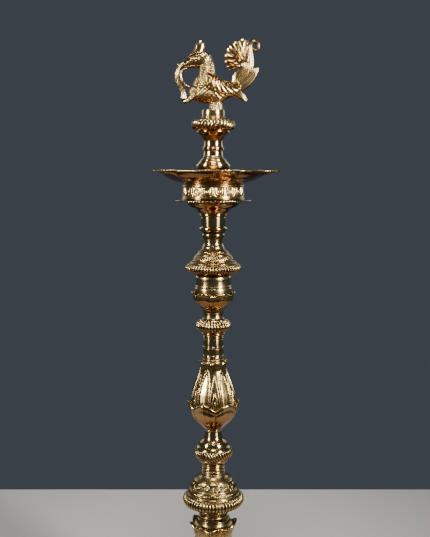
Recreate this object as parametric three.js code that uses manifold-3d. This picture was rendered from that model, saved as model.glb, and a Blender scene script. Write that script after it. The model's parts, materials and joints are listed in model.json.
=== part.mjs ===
// A standing oil lamp (samai) in brass, as it comes apart on a bench.
//
// Frame: millimetres, +Z up, origin at the centre of the face that the foot stands on. The bird on
// top faces -X. Every section is turned or cast round the Z axis and stands on the one below it.
// Sections that are brazed together meet in a plain spigot and socket. Sections that a person
// unscrews meet in a stud, which is brazed into the upper one and screws into the lower one.
import * as THREE from "three";
import { mergeVertices } from "three/addons/utils/BufferGeometryUtils.js";
import Module from "manifold-3d";

const wasm = await Module();
wasm.setup();

// ---- Fits -----------------------------------------------------------------------------------
const seatGap = 0.05; // between two faces that rest on each other
const boreClearance = 0.3; // radial, a stud or a spigot in its hole
const boreRunout = 1; // a blind hole is this much deeper than what it holds
const threadRadius = 5; // outside radius of every stud
const threadPitch = 2;
const threadTurns = 4;
const threadGrip = threadPitch * threadTurns; // length of thread in each half of a joint
const spigotRadius = 7.5;
const spigotLength = 7;

// ---- Heights of the sections, from the foot up, each from its own seat to the next ------------
const footHeight = 12;
const domeHeight = 96;
const baseKnopHeight = 42;
const lowerCupHeight = 64;
const lowerBellHeight = 65;
const ropeKnopHeight = 56;
const bulbHeight = 114;
const tubeHeight = 29;
const ringCollarHeight = 44;
const upperCupHeight = 51;
const upperBellHeight = 38;
const stemNeckHeight = 50;
const saucerHeight = 23;
const drumHeight = 22;
const dishHeight = 20;
const dishFloor = 3.5; // thickness of the dish where the pedestal stands on it
const pedestalHeight = 47.5;
const beadedCollarHeight = 44;

// ---- Radii -----------------------------------------------------------------------------------
const footRadius = 104;
const footRingWidth = 12;
const footLip = 3; // the upstand that centres the dome on the foot
const domeWall = 4.5;
const domeTopRadius = 23;
const domePlate = 7; // thickness of the dome's top, which the base bolt passes through
const baseKnopRadius = 30;
const knopNeckRadius = 15;
const lowerCupRadius = 29;
const lowerPetalRadius = 37;
const lowerCupNeck = 26;
const lowerBellRadius = 46;
const bellHubRadius = 22;
const lowerStemRadius = 17.5;
const ropeRadius = 29.3;
const bulbNeckRadius = 12.5;
const bulbRadius = 33.5;
const bulbPetalRadius = 38;
const bulbCollarRadius = 20.5;
const tubeRadius = 15;
const ringCollarRadius = 26.3;
const upperPetalRadius = 32.2;
const upperCupRadius = 26;
const upperBellRadius = 41.7;
const stemNeckRadius = 14;
const stemRingRadius = 20;
const saucerRadius = 56;
const drumRadius = 46;
const drumWall = 4;
const drumPlate = 6;
const drumBossRadius = 12;
const dishSeatRadius = 45;
const dishBowlRadius = 76;
const spoutTipRadius = 101;
const spoutCount = 5;
const spoutTurn = 12; // degrees that the front spout is turned from -Y towards +X
const pedestalFootRadius = 24.3;
const pedestalNeckRadius = 13.5;
const beadedRadius = 32.6;
const finialFootRadius = 16;
const finialFootHeight = 14;
const washerRadius = 14;
const washerThickness = 2;
const nutAcrossCorners = 20;
const nutThickness = 9;
const boltEnd = 3; // thread left standing below the nut

// ---- Seats, the level that each section stands on ----------------------------------------------
const domeSeat = footHeight;
const baseKnopSeat = domeSeat + domeHeight;
const lowerCupSeat = baseKnopSeat + baseKnopHeight;
const lowerBellSeat = lowerCupSeat + lowerCupHeight;
const ropeKnopSeat = lowerBellSeat + lowerBellHeight;
const bulbSeat = ropeKnopSeat + ropeKnopHeight;
const tubeSeat = bulbSeat + bulbHeight;
const ringCollarSeat = tubeSeat + tubeHeight;
const upperCupSeat = ringCollarSeat + ringCollarHeight;
const upperBellSeat = upperCupSeat + upperCupHeight;
const stemNeckSeat = upperBellSeat + upperBellHeight;
const saucerSeat = stemNeckSeat + stemNeckHeight;
const drumSeat = saucerSeat + saucerHeight;
const dishSeat = drumSeat + drumHeight;
const pedestalSeat = dishSeat + dishFloor;
const beadedCollarSeat = pedestalSeat + pedestalHeight;
const finialSeat = beadedCollarSeat + beadedCollarHeight;

// ---- Finishes ---------------------------------------------------------------------------------
const turnedBrass = { color: 0xc9a24b, roughness: 0.22, metalness: 1 };
const castBrass = { color: 0xb98f3e, roughness: 0.32, metalness: 1 };
const studBrass = { color: 0xb59a5a, roughness: 0.4, metalness: 1 };
const steel = { color: 0x8d9094, roughness: 0.4, metalness: 1 };

const facetsRound = { slim: 12, middling: 16, wide: 24 };
const slimBelow = 9; // radius, mm
const wideFrom = 35;
const lamp = new THREE.Group();

function add(name, geometry, seat, finish) {
  const mesh = new THREE.Mesh(geometry, new THREE.MeshStandardMaterial(finish));
  mesh.name = name;
  mesh.position.z = seat;
  lamp.add(mesh);
}

// A solid turned round Z. Its points run [radius, z], anticlockwise seen with Z up and the
// radius to the right, from the axis back to the axis or round a closed loop.
function turned(points) {
  const widest = Math.max(...points.map(([r]) => r));
  const size = widest < slimBelow ? "slim" : widest < wideFrom ? "middling" : "wide";
  const facets = facetsRound[size];
  const lathe = new THREE.LatheGeometry(points.map(([r, z]) => new THREE.Vector2(r, z)), facets);
  return lathe.rotateX(Math.PI / 2);
}

// What the bottom and the top of a section hold. Each is a run of profile points.
const spigotBelow = [
  [0, -spigotLength],
  [spigotRadius, -spigotLength],
  [spigotRadius, seatGap],
];
const studSocketBelow = [
  [0, threadGrip + boreRunout],
  [threadRadius + boreClearance, threadGrip + boreRunout],
  [threadRadius + boreClearance, seatGap],
];
const socketAbove = (top) => [
  [spigotRadius + boreClearance, top],
  [spigotRadius + boreClearance, top - spigotLength - boreRunout],
  [0, top - spigotLength - boreRunout],
];
const threadAbove = (top) => [
  [threadRadius + boreClearance, top],
  [threadRadius + boreClearance, top - threadGrip - boreRunout],
  [0, top - threadGrip - boreRunout],
];

// A section: what is below, then the outline from its seat to its top, then what is above.
const section = (below, outline, above) => turned([...below, ...outline, ...above]);

// Points on an arc round [r, z] from one angle to another, in degrees from the +r direction.
function arc(r, z, radius, from, to, steps = 4) {
  return Array.from({ length: steps + 1 }, (_, i) => {
    const angle = THREE.MathUtils.degToRad(from + ((to - from) * i) / steps);
    return [r + radius * Math.cos(angle), z + radius * Math.sin(angle)];
  });
}

// A stud: its lower part goes down from the seat, and its upper part is brazed into the section.
function stud(below) {
  return turned([
    [0, -below],
    [threadRadius, -below],
    [threadRadius, threadGrip],
    [0, threadGrip],
  ]);
}

// ---- Base: foot ring, dome, knop, and the bolt that clamps them ---------------------------------
function foot() {
  const inner = footRadius - footRingWidth;
  const lipOuter = domeInner() - boreClearance;
  return turned([
    [inner, 0],
    [footRadius, 0],
    [footRadius, footHeight / 2],
    [footRadius - 3, footHeight],
    [lipOuter, footHeight],
    [lipOuter, footHeight + footLip],
    [inner, footHeight + footLip],
    [inner, 0],
  ]);
}

function domeInner() {
  return footRadius - 1 - domeWall;
}

// The dome is three steps: a rounded shoulder over the rim, a straight band, and a hollow neck.
function dome() {
  const rim = footRadius - 1;
  const rimRadius = domeWall * 0.9;
  const shoulder = [rim - 6, 13];
  const firstStep = [rim * 0.7, domeHeight * 0.38];
  const secondStep = [rim * 0.5, domeHeight * 0.6];
  const neckFoot = [rim * 0.34, domeHeight * 0.8];
  const plateUnder = domeHeight - domePlate;
  const boltHole = threadRadius + boreClearance;
  const inside = ([r, z]) => [r - domeWall, z - domeWall * 0.7];
  return turned([
    [domeInner(), seatGap],
    [rim - rimRadius, seatGap],
    ...arc(rim - rimRadius, rimRadius + seatGap, rimRadius, -90, 90),
    shoulder,
    [rim * 0.86, domeHeight * 0.27],
    firstStep,
    [firstStep[0] - 2.5, firstStep[1] + 2],
    secondStep,
    [secondStep[0] - 2.5, secondStep[1] + 1.5],
    neckFoot,
    [domeTopRadius, domeHeight - 4],
    [domeTopRadius, domeHeight],
    [boltHole, domeHeight],
    [boltHole, plateUnder],
    [domeTopRadius - 1, plateUnder],
    inside(neckFoot),
    inside(secondStep),
    inside(firstStep),
    inside([rim * 0.86, domeHeight * 0.27]),
    [domeInner(), shoulder[1] - domeWall * 0.7],
    [domeInner(), seatGap],
  ]);
}

function baseKnop() {
  const ringZ = baseKnopHeight * 0.46;
  return section(
    studSocketBelow,
    [
      [domeTopRadius - 2, seatGap],
      [domeTopRadius - 2, 3],
      [knopNeckRadius + 1, 8],
      [knopNeckRadius + 3, ringZ - 7],
      ...arc(baseKnopRadius - 6, ringZ, 6, -60, 60),
      [knopNeckRadius + 3, ringZ + 7],
      [knopNeckRadius, baseKnopHeight - 9],
      [knopNeckRadius + 3, baseKnopHeight - 4],
      [knopNeckRadius + 2, baseKnopHeight],
    ],
    threadAbove(baseKnopHeight),
  );
}

function washer() {
  return turned([
    [threadRadius + boreClearance, 0],
    [washerRadius, 0],
    [washerRadius, washerThickness],
    [threadRadius + boreClearance, washerThickness],
    [threadRadius + boreClearance, 0],
  ]);
}

function nut() {
  const hexagon = new THREE.Shape();
  for (let i = 0; i < 6; i++) {
    const angle = (i * Math.PI) / 3;
    const x = (nutAcrossCorners / 2) * Math.cos(angle);
    const y = (nutAcrossCorners / 2) * Math.sin(angle);
    if (i === 0) hexagon.moveTo(x, y);
    else hexagon.lineTo(x, y);
  }
  hexagon.closePath();
  const hole = new THREE.Path().absarc(0, 0, threadRadius + boreClearance, 0, 2 * Math.PI, true);
  hexagon.holes.push(hole);
  return new THREE.ExtrudeGeometry(hexagon, {
    depth: nutThickness,
    bevelEnabled: false,
    curveSegments: facetsRound.middling,
  });
}

const washerTop = baseKnopSeat - domePlate - seatGap;
const nutTop = washerTop - washerThickness - seatGap;
const baseBoltDrop = baseKnopSeat - nutTop + nutThickness + boltEnd;

// ---- Lower stem: lotus cup and engraved bell --------------------------------------------------------
function lowerCup() {
  const tips = lowerCupHeight * 0.625; // height of the petals' tips
  return section(
    studSocketBelow,
    [
      [knopNeckRadius + 2, seatGap],
      [knopNeckRadius + 6, 4],
      [lowerCupRadius - 1, 14],
      [lowerCupRadius, tips - 15],
      [lowerPetalRadius, tips],
      [lowerPetalRadius - 2, tips + 1],
      [lowerCupNeck + 1, tips],
      [lowerCupNeck, tips + 6],
      [lowerCupNeck + 1, tips + 10],
      [lowerCupNeck - 1, tips + 13],
      [lowerCupNeck + 1, lowerCupHeight - 7],
      [lowerCupNeck - 3, lowerCupHeight - 4],
      [bellHubRadius, lowerCupHeight],
    ],
    socketAbove(lowerCupHeight),
  );
}

// A bell: hub, hollow under the skirt, rounded rim, then the skirt rising to a slim neck.
function bell(hub, radius, rimLow, rimThick, skirt) {
  const rimRadius = rimThick / 2;
  return [
    [hub, seatGap],
    [hub, rimLow + rimThick],
    [radius - rimThick, rimLow + rimRadius],
    ...arc(radius - rimRadius, rimLow + rimRadius, rimRadius, -110, 90),
    ...skirt,
  ];
}

function lowerBell() {
  return section(
    spigotBelow,
    bell(bellHubRadius, lowerBellRadius, 5.5, 10, [
      [lowerBellRadius - 6.5, 21],
      [lowerBellRadius - 8, 30],
      [lowerBellRadius - 13, 36],
      [lowerBellRadius - 19, 44],
      [lowerStemRadius + 2, 50],
      [lowerStemRadius, 53],
      [lowerStemRadius - 1, 57],
      [lowerStemRadius, 62],
      [lowerStemRadius - 1, lowerBellHeight],
    ]),
    threadAbove(lowerBellHeight),
  );
}

// ---- Middle stem: roped knop, leafed bulb, plain tube ------------------------------------------------
function ropeKnop() {
  return section(
    studSocketBelow,
    [
      [lowerStemRadius - 1, seatGap],
      [lowerStemRadius, 4],
      [lowerStemRadius + 3, 7],
      ...arc(ropeRadius - 6, 17, 6, -75, 60),
      [ropeRadius - 5.5, 24],
      [ropeRadius - 5.5, 28],
      [ropeRadius - 9.5, 33],
      [bulbNeckRadius + 4, 41],
      [bulbNeckRadius - 1, ropeKnopHeight - 4],
      [bulbNeckRadius, ropeKnopHeight],
    ],
    socketAbove(ropeKnopHeight),
  );
}

function bulb() {
  const tips = bulbHeight * 0.39; // height of the petals' tips
  const collar = bulbHeight - 9;
  return section(
    spigotBelow,
    [
      [bulbNeckRadius, seatGap],
      [bulbNeckRadius, 2],
      [bulbRadius - 15, 7],
      [bulbRadius - 3, 20],
      [bulbRadius + 1.5, tips - 9],
      [bulbPetalRadius, tips],
      [bulbPetalRadius - 1.5, tips + 1],
      [bulbRadius + 0.5, tips],
      [bulbRadius, tips + 14],
      [bulbRadius - 6.5, tips + 27],
      [bulbCollarRadius, bulbHeight - 28],
      [bulbCollarRadius - 1.5, bulbHeight - 15],
      [bulbCollarRadius, collar],
      [bulbCollarRadius - 1.5, collar + 1],
      [tubeRadius, collar],
      [tubeRadius, bulbHeight],
    ],
    socketAbove(bulbHeight),
  );
}

function tube() {
  return section(
    spigotBelow,
    [
      [tubeRadius, seatGap],
      [tubeRadius - 0.4, 2],
      [tubeRadius - 0.4, tubeHeight / 2 - 2],
      [tubeRadius + 0.6, tubeHeight / 2],
      [tubeRadius - 0.4, tubeHeight / 2 + 2],
      [tubeRadius - 0.7, tubeHeight],
    ],
    threadAbove(tubeHeight),
  );
}

// ---- Upper stem: gadrooned collar, lotus cup, engraved bell, ringed neck ----------------------------
function ringCollar() {
  return section(
    studSocketBelow,
    [
      [tubeRadius - 0.7, seatGap],
      [tubeRadius + 1.5, 4],
      [tubeRadius + 1.5, 8],
      ...arc(ringCollarRadius - 7, 16.5, 7, -70, 70),
      [tubeRadius + 1, 28],
      [tubeRadius, 34],
      [tubeRadius + 0.5, 40],
      [tubeRadius + 4, ringCollarHeight],
    ],
    socketAbove(ringCollarHeight),
  );
}

function upperCup() {
  const tips = upperCupHeight * 0.45;
  return section(
    spigotBelow,
    [
      [tubeRadius + 4, seatGap],
      [tubeRadius + 6, 2],
      [upperCupRadius, 9],
      [upperPetalRadius, tips],
      [upperPetalRadius - 1.5, tips + 1],
      [upperCupRadius + 0.5, tips],
      [upperCupRadius - 1.5, tips + 12],
      [upperCupRadius - 0.5, tips + 16],
      [upperCupRadius - 1.5, tips + 19],
      [upperCupRadius + 1.5, upperCupHeight - 2],
      [upperCupRadius, upperCupHeight],
    ],
    socketAbove(upperCupHeight),
  );
}

function upperBell() {
  return section(
    spigotBelow,
    bell(upperCupRadius - 2, upperBellRadius, 3, 8, [
      [upperBellRadius - 6, 15],
      [upperBellRadius - 11.5, 21],
      [upperBellRadius - 13, 24],
      [upperBellRadius - 17, 30],
      [stemNeckRadius + 6, 34],
      [stemNeckRadius + 2.5, upperBellHeight],
    ]),
    socketAbove(upperBellHeight),
  );
}

function stemNeck() {
  return section(
    spigotBelow,
    [
      [stemNeckRadius + 2.5, seatGap],
      [stemNeckRadius, 6],
      [stemNeckRadius, 12],
      [stemNeckRadius + 2.5, 18],
      [stemNeckRadius + 2.5, 22],
      ...arc(stemRingRadius - 3, 28, 3, -80, 80),
      [stemRingRadius - 2.2, 33],
      [stemRingRadius - 2.2, stemNeckHeight - 4],
      [stemRingRadius, stemNeckHeight - 2],
      [stemRingRadius, stemNeckHeight],
    ],
    threadAbove(stemNeckHeight),
  );
}

// ---- Bowl stand: drip saucer and drum ---------------------------------------------------------------
function saucer() {
  const flange = 3;
  const flangeTop = saucerHeight - 1.5;
  return section(
    studSocketBelow,
    [
      [stemRingRadius, seatGap],
      [stemRingRadius + 1.5, 2.5],
      [stemRingRadius + 8, 8],
      [stemRingRadius + 18, flangeTop - flange - 3],
      [saucerRadius - 1, flangeTop - flange],
      [saucerRadius, flangeTop - flange / 2],
      [saucerRadius - 1, flangeTop],
      [drumRadius + 1, flangeTop],
      [drumRadius + 1, saucerHeight],
    ],
    socketAbove(saucerHeight),
  );
}

// The drum is open below, with a boss under its top plate that takes the pedestal's stud. A pillar
// in the middle stands in the saucer's socket.
function drum() {
  return section(
    spigotBelow,
    [
      [drumBossRadius, seatGap],
      [drumBossRadius, drumHeight - drumPlate],
      [drumRadius - drumWall, drumHeight - drumPlate],
      [drumRadius - drumWall, seatGap],
      [drumRadius, seatGap],
      [drumRadius, 4],
      [drumRadius - 2, drumHeight - 6],
      [drumRadius - 3, drumHeight - 2],
      [drumRadius - 1, drumHeight],
    ],
    threadAbove(drumHeight),
  );
}

// ---- Dish: a shallow bowl with pointed spouts ---------------------------------------------------------
// Each ring of the surface has a radius between the spouts, how much further it reaches at the
// middle of a spout, a height, and half the spout's width in degrees.
function dish() {
  const hole = threadRadius + boreClearance;
  const rim = dishHeight;
  const lip = 3; // thickness of the rim
  const reach = spoutTipRadius - dishBowlRadius;
  const wide = 15;
  const narrow = 10;
  const rings = [
    [hole, 0, seatGap, wide],
    [dishSeatRadius, 0, seatGap, wide],
    [dishBowlRadius - 21, 1, rim * 0.25, wide],
    [dishBowlRadius - 17.5, reach * 0.3, rim * 0.4, wide],
    [dishBowlRadius - 13, reach * 0.63, rim * 0.57, wide],
    [dishBowlRadius - 8, reach * 0.63, rim * 0.72, wide],
    [dishBowlRadius - 1, reach - 0.5, rim - lip, wide],
    [dishBowlRadius, reach, rim - lip / 2, wide],
    [dishBowlRadius - 0.5, reach - 0.5, rim, wide],
    [dishBowlRadius - 5, reach * 0.85, rim, narrow],
    [dishBowlRadius - 11, reach * 0.45, rim * 0.76, narrow],
    [dishBowlRadius - 16, reach * 0.3, rim * 0.56, narrow],
    [dishBowlRadius - 23, 0, rim * 0.36, narrow],
    [dishSeatRadius, 0, dishFloor, narrow],
    [hole, 0, dishFloor, narrow],
  ];
  const sector = 360 / spoutCount;
  const steps = [-0.5, -0.33, -0.2, -0.14, -0.09, -0.04, 0, 0.04, 0.09, 0.14, 0.2, 0.33];
  const turns = [];
  for (let s = 0; s < spoutCount; s++) steps.forEach((t) => turns.push({ s, off: t * sector }));
  const positions = [];
  rings.forEach(([radius, further, z, half]) =>
    turns.forEach(({ s, off }) => {
      const share = Math.max(0, 1 - Math.abs(off) / half) ** 1.2;
      const angle = THREE.MathUtils.degToRad(s * sector + off + spoutTurn - 90);
      const r = radius + further * share;
      positions.push(r * Math.cos(angle), r * Math.sin(angle), z);
    }),
  );
  const index = [];
  const count = turns.length;
  rings.forEach((_, i) => {
    const next = (i + 1) % rings.length;
    for (let j = 0; j < count; j++) {
      const k = (j + 1) % count;
      index.push(i * count + j, i * count + k, next * count + k);
      index.push(i * count + j, next * count + k, next * count + j);
    }
  });
  return new THREE.BufferGeometry()
    .setAttribute("position", new THREE.Float32BufferAttribute(positions, 3))
    .setIndex(index);
}

// ---- Pedestal: bell foot that stands in the dish, and the beaded collar above it ------------------------
function pedestal() {
  const flare = pedestalHeight * 0.5;
  return section(
    studSocketBelow,
    [
      [pedestalFootRadius - 2, seatGap],
      [pedestalFootRadius - 4, 4],
      [pedestalFootRadius - 4, flare - 7],
      [pedestalFootRadius, flare - 3],
      [pedestalFootRadius, flare + 1],
      [pedestalFootRadius - 5, flare + 7],
      [pedestalNeckRadius + 1, pedestalHeight - 9],
      [pedestalNeckRadius, pedestalHeight - 5],
      [pedestalNeckRadius + 1.5, pedestalHeight],
    ],
    socketAbove(pedestalHeight),
  );
}

function beadedCollar() {
  return section(
    spigotBelow,
    [
      [pedestalNeckRadius + 2, seatGap],
      [pedestalNeckRadius, 5],
      [pedestalNeckRadius, 11],
      [pedestalNeckRadius + 4.5, 19],
      [pedestalNeckRadius + 9.5, 23],
      [pedestalNeckRadius + 9.5, 26],
      ...arc(beadedRadius - 6, 34, 6, -60, 70),
      [finialFootRadius + 4, beadedCollarHeight - 0.5],
      [finialFootRadius + 3, beadedCollarHeight],
    ],
    threadAbove(beadedCollarHeight),
  );
}

// ---- Finial: the bird, cast in one with its round foot ------------------------------------------------
// Lengths below are of the bird alone, in its own plane, from the middle of its foot.
const birdBodyHalf = [27, 12, 13.5]; // half length, half width, half height
const birdBodyAt = [-6, 0, 38.5];
const birdTilt = 10; // degrees that the body rises towards the tail
const birdNeckRadius = 9.5;
const tailThickness = 7;
const crestThickness = 5;
const garlandRadius = 4;
const garlandBudHalf = [7, 6, 8];
const rodFacets = 4; // in each quarter of a rod's section
const ballFacets = 12;

function solidOf(geometry) {
  const flat = geometry.index ? geometry.toNonIndexed() : geometry.clone();
  flat.deleteAttribute("normal");
  flat.deleteAttribute("uv");
  const merged = mergeVertices(flat, 1e-3);
  return new wasm.Manifold(
    new wasm.Mesh({
      numProp: 3,
      vertProperties: new Float32Array(merged.attributes.position.array),
      triVerts: new Uint32Array(merged.index.array),
    }),
  );
}

function geometryOf(solid) {
  const mesh = solid.getMesh();
  return new THREE.BufferGeometry()
    .setAttribute("position", new THREE.BufferAttribute(mesh.vertProperties, 3))
    .setIndex(new THREE.BufferAttribute(mesh.triVerts, 1));
}

// A plate in the XZ plane, centred on Y, from an outline of [x, z] points.
function plate(points, thickness) {
  const shape = new THREE.Shape(points.map(([x, z]) => new THREE.Vector2(x, z)));
  return new THREE.ExtrudeGeometry(shape, { depth: thickness, bevelEnabled: false })
    .rotateX(Math.PI / 2)
    .translate(0, thickness / 2, 0);
}

// A round rod along a curve through [x, z] points in the bird's plane.
function rod(points, radius, steps) {
  const path = new THREE.CatmullRomCurve3(points.map(([x, z]) => new THREE.Vector3(x, 0, z)));
  const shape = new THREE.Shape();
  shape.absarc(0, 0, radius, 0, 2 * Math.PI);
  return new THREE.ExtrudeGeometry(shape, {
    steps,
    extrudePath: path,
    curveSegments: rodFacets,
    bevelEnabled: false,
  });
}

function ball([x, y, z], [a, b, c], tilt = 0) {
  return new THREE.SphereGeometry(1, ballFacets, ballFacets - 4)
    .scale(a, b, c)
    .rotateY(THREE.MathUtils.degToRad(-tilt))
    .translate(x, y, z);
}

function finial() {
  const foot = section(
    studSocketBelow,
    [
      [finialFootRadius + 2.5, seatGap],
      [finialFootRadius, 3],
      [finialFootRadius, finialFootHeight - 3],
      [finialFootRadius - 4.5, finialFootHeight],
      [finialFootRadius - 6, 19],
      [finialFootRadius - 6, birdBodyAt[2] - 8],
    ],
    [[0, birdBodyAt[2] - 8]],
  );
  const tail = plate(
    [
      [20, 42], [28, 55], [27, 67], [19, 73], [22, 80], [17, 85], [19, 93], [23, 103], [32, 110],
      [45, 113], [58, 109], [65, 102], [61, 94], [55, 90], [56, 76], [67, 70], [55, 53], [43, 38],
      [49, 26], [42, 22], [28, 30],
    ],
    tailThickness,
  );
  const crest = plate(
    [[-33, 88], [-25, 101], [-22, 109], [-17, 111], [-12, 105], [-11, 94], [-8, 86]],
    crestThickness,
  );
  const wings = ball([10, 0, 44], [30, 10, 9], birdTilt);
  const neck = rod([[-14, 44], [-10, 56], [-9, 68], [-13, 79], [-22, 85]], birdNeckRadius, 8);
  const head = ball([-24, 0, 86], [12, 8, 9], 20);
  const beak = rod([[-30, 86], [-37, 82], [-44, 75]], birdNeckRadius * 0.45, 4);
  const garland = rod(
    [[-43, 77], [-49, 71], [-51, 57], [-47, 44], [-43, 34], [-32, 32]], garlandRadius, 10,
  );
  const bud = ball([-43, 0, 31], garlandBudHalf);
  const body = ball(birdBodyAt, birdBodyHalf, birdTilt);
  return geometryOf(
    [body, wings, tail, crest, neck, head, beak, garland, bud]
      .map(solidOf)
      .reduce((whole, next) => whole.add(next), solidOf(foot)),
  );
}

// ---- The lamp, from the foot up ----------------------------------------------------------------------
add("base_foot", foot(), 0, castBrass);
add("base_dome", dome(), domeSeat, castBrass);
add("base_washer", washer(), washerTop - washerThickness, steel);
add("base_nut", nut(), nutTop - nutThickness, steel);
add("base_bolt", stud(baseBoltDrop), baseKnopSeat, studBrass);
add("base_knop", baseKnop(), baseKnopSeat, turnedBrass);
add("lower_stud", stud(threadGrip), lowerCupSeat, studBrass);
add("lower_lotus_cup", lowerCup(), lowerCupSeat, castBrass);
add("lower_bell", lowerBell(), lowerBellSeat, castBrass);
add("middle_stud", stud(threadGrip), ropeKnopSeat, studBrass);
add("rope_knop", ropeKnop(), ropeKnopSeat, turnedBrass);
add("leaf_bulb", bulb(), bulbSeat, castBrass);
add("stem_tube", tube(), tubeSeat, turnedBrass);
add("upper_stud", stud(threadGrip), ringCollarSeat, studBrass);
add("gadroon_collar", ringCollar(), ringCollarSeat, turnedBrass);
add("upper_lotus_cup", upperCup(), upperCupSeat, castBrass);
add("upper_bell", upperBell(), upperBellSeat, castBrass);
add("stem_neck", stemNeck(), stemNeckSeat, turnedBrass);
add("saucer_stud", stud(threadGrip), saucerSeat, studBrass);
add("drip_saucer", saucer(), saucerSeat, turnedBrass);
add("drum", drum(), drumSeat, castBrass);
add("oil_dish", dish(), dishSeat, castBrass);
add("pedestal_stud", stud(dishFloor + threadGrip), pedestalSeat, studBrass);
add("pedestal_foot", pedestal(), pedestalSeat, turnedBrass);
add("beaded_collar", beadedCollar(), beadedCollarSeat, turnedBrass);
add("finial_stud", stud(threadGrip), finialSeat, studBrass);
add("bird_finial", finial(), finialSeat, castBrass);

export default lamp;
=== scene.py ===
# %% [markdown]
# # A standing oil lamp of cast and turned brass
# The lamp is a samai: a domed foot, a stem of knops and bells, a dish with five wick spouts, and a
# peacock on top. Nearly every piece is round, so nearly every piece here is one idea: an outline
# that a turner would cut, carried round the axis, with the founder's and the chaser's relief added
# to it as height. The bird is built from bars whose section changes along a curve, and the petals
# are thin shells drawn rib by rib.

# %% Load the frame
import json
import math

import bpy
import numpy as np
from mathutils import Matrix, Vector


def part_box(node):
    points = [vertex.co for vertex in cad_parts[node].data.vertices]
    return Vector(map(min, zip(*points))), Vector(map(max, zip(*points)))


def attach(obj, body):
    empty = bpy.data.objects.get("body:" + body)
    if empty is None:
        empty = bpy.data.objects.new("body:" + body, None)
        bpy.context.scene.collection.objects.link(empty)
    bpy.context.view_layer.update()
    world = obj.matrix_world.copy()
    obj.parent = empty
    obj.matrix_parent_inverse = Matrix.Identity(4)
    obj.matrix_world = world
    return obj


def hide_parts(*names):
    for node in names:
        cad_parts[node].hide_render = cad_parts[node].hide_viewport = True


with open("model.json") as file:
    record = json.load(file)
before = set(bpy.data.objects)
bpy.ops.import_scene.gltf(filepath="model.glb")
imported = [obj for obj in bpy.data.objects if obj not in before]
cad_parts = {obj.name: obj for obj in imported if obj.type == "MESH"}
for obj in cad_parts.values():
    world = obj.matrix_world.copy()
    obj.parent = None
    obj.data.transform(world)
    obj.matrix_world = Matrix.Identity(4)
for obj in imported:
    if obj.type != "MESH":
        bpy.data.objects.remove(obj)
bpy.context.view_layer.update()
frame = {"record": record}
MM = 0.001
FULL_TURN = 2 * math.pi
FRONT = -math.pi / 2  # the angle of the side that faces the camera

# %% [markdown]
# ## Camera
# A 54 mm lens stands 1.2 m in front of the stem, level with the dish and just under its rim, and
# looks slightly down. That is why the dish shows its underside and the bells near the floor show
# their tops. A camera this near gives the rings the opening ellipses that a visitor sees.

# %% Camera
CAMERA_DISTANCE = 1.2
CAMERA_HEIGHT = 0.715
CAMERA_SIDE = 0.0025
CAMERA_DOWN = math.radians(6.4)
LENS_MM = 54.3
SENSOR_MM = 36

lens = bpy.data.cameras.new("camera")
lens.lens = LENS_MM
lens.sensor_width = SENSOR_MM
camera = bpy.data.objects.new("camera", lens)
camera.location = (CAMERA_SIDE, -CAMERA_DISTANCE, CAMERA_HEIGHT)
camera.rotation_euler = (math.pi / 2 - CAMERA_DOWN, 0, 0)
bpy.context.scene.collection.objects.link(camera)
bpy.context.scene.camera = camera
print("camera", tuple(round(x, 4) for x in camera.location))

# %% [markdown]
# ## Surfaces from numbers
# A grid of points becomes a closed mesh. Its columns always join up round the piece. Its first and
# last rows are either joined to each other, as in a ring, or each closed by one point, as at the
# poles of a globe. If the enclosed volume comes out negative the faces are turned over, so that
# they always point out.


# %% Grid to mesh
def close_up(points, loop=False):
    """Vertices and faces of a closed surface from a (rows, columns, 3) grid. A loop joins its last
    row to its first. Otherwise the mean of each end row becomes a pole."""
    rows, columns = points.shape[:2]
    index = np.arange(rows * columns).reshape(rows, columns)
    onward = np.roll(index, -1, axis=1)
    low, high = (index, np.roll(index, -1, axis=0)) if loop else (index[:-1], index[1:])
    low_on, high_on = (onward, np.roll(onward, -1, axis=0)) if loop else (onward[:-1], onward[1:])
    quads = np.stack([low, low_on, high_on, high], axis=-1).reshape(-1, 4)
    vertices = points.reshape(-1, 3)
    if loop:
        return vertices, quads, np.zeros((0, 3), int)
    vertices = np.vstack([vertices, points[0].mean(axis=0), points[-1].mean(axis=0)])
    first = np.full(columns, rows * columns)
    last = first + 1
    bottom = np.stack([first, onward[0], index[0]], axis=-1)
    top = np.stack([last, index[-1], onward[-1]], axis=-1)
    return vertices, quads, np.vstack([bottom, top])


def volume(vertices, quads, triangles):
    """Six times the signed volume: each triangle's corners multiplied as a box product."""
    fans = np.vstack([quads[:, [0, 1, 2]], quads[:, [0, 2, 3]], triangles])
    a, b, c = (vertices[fans[:, k]] for k in range(3))
    return float(np.einsum("ij,ij->", a, np.cross(b, c)))


HOLLOW_REACH = 1.1  # mm from a point to the neighbours that it is compared with
HOLLOW_FULL = 0.16  # mm below its neighbours that counts as fully hollow


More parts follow.
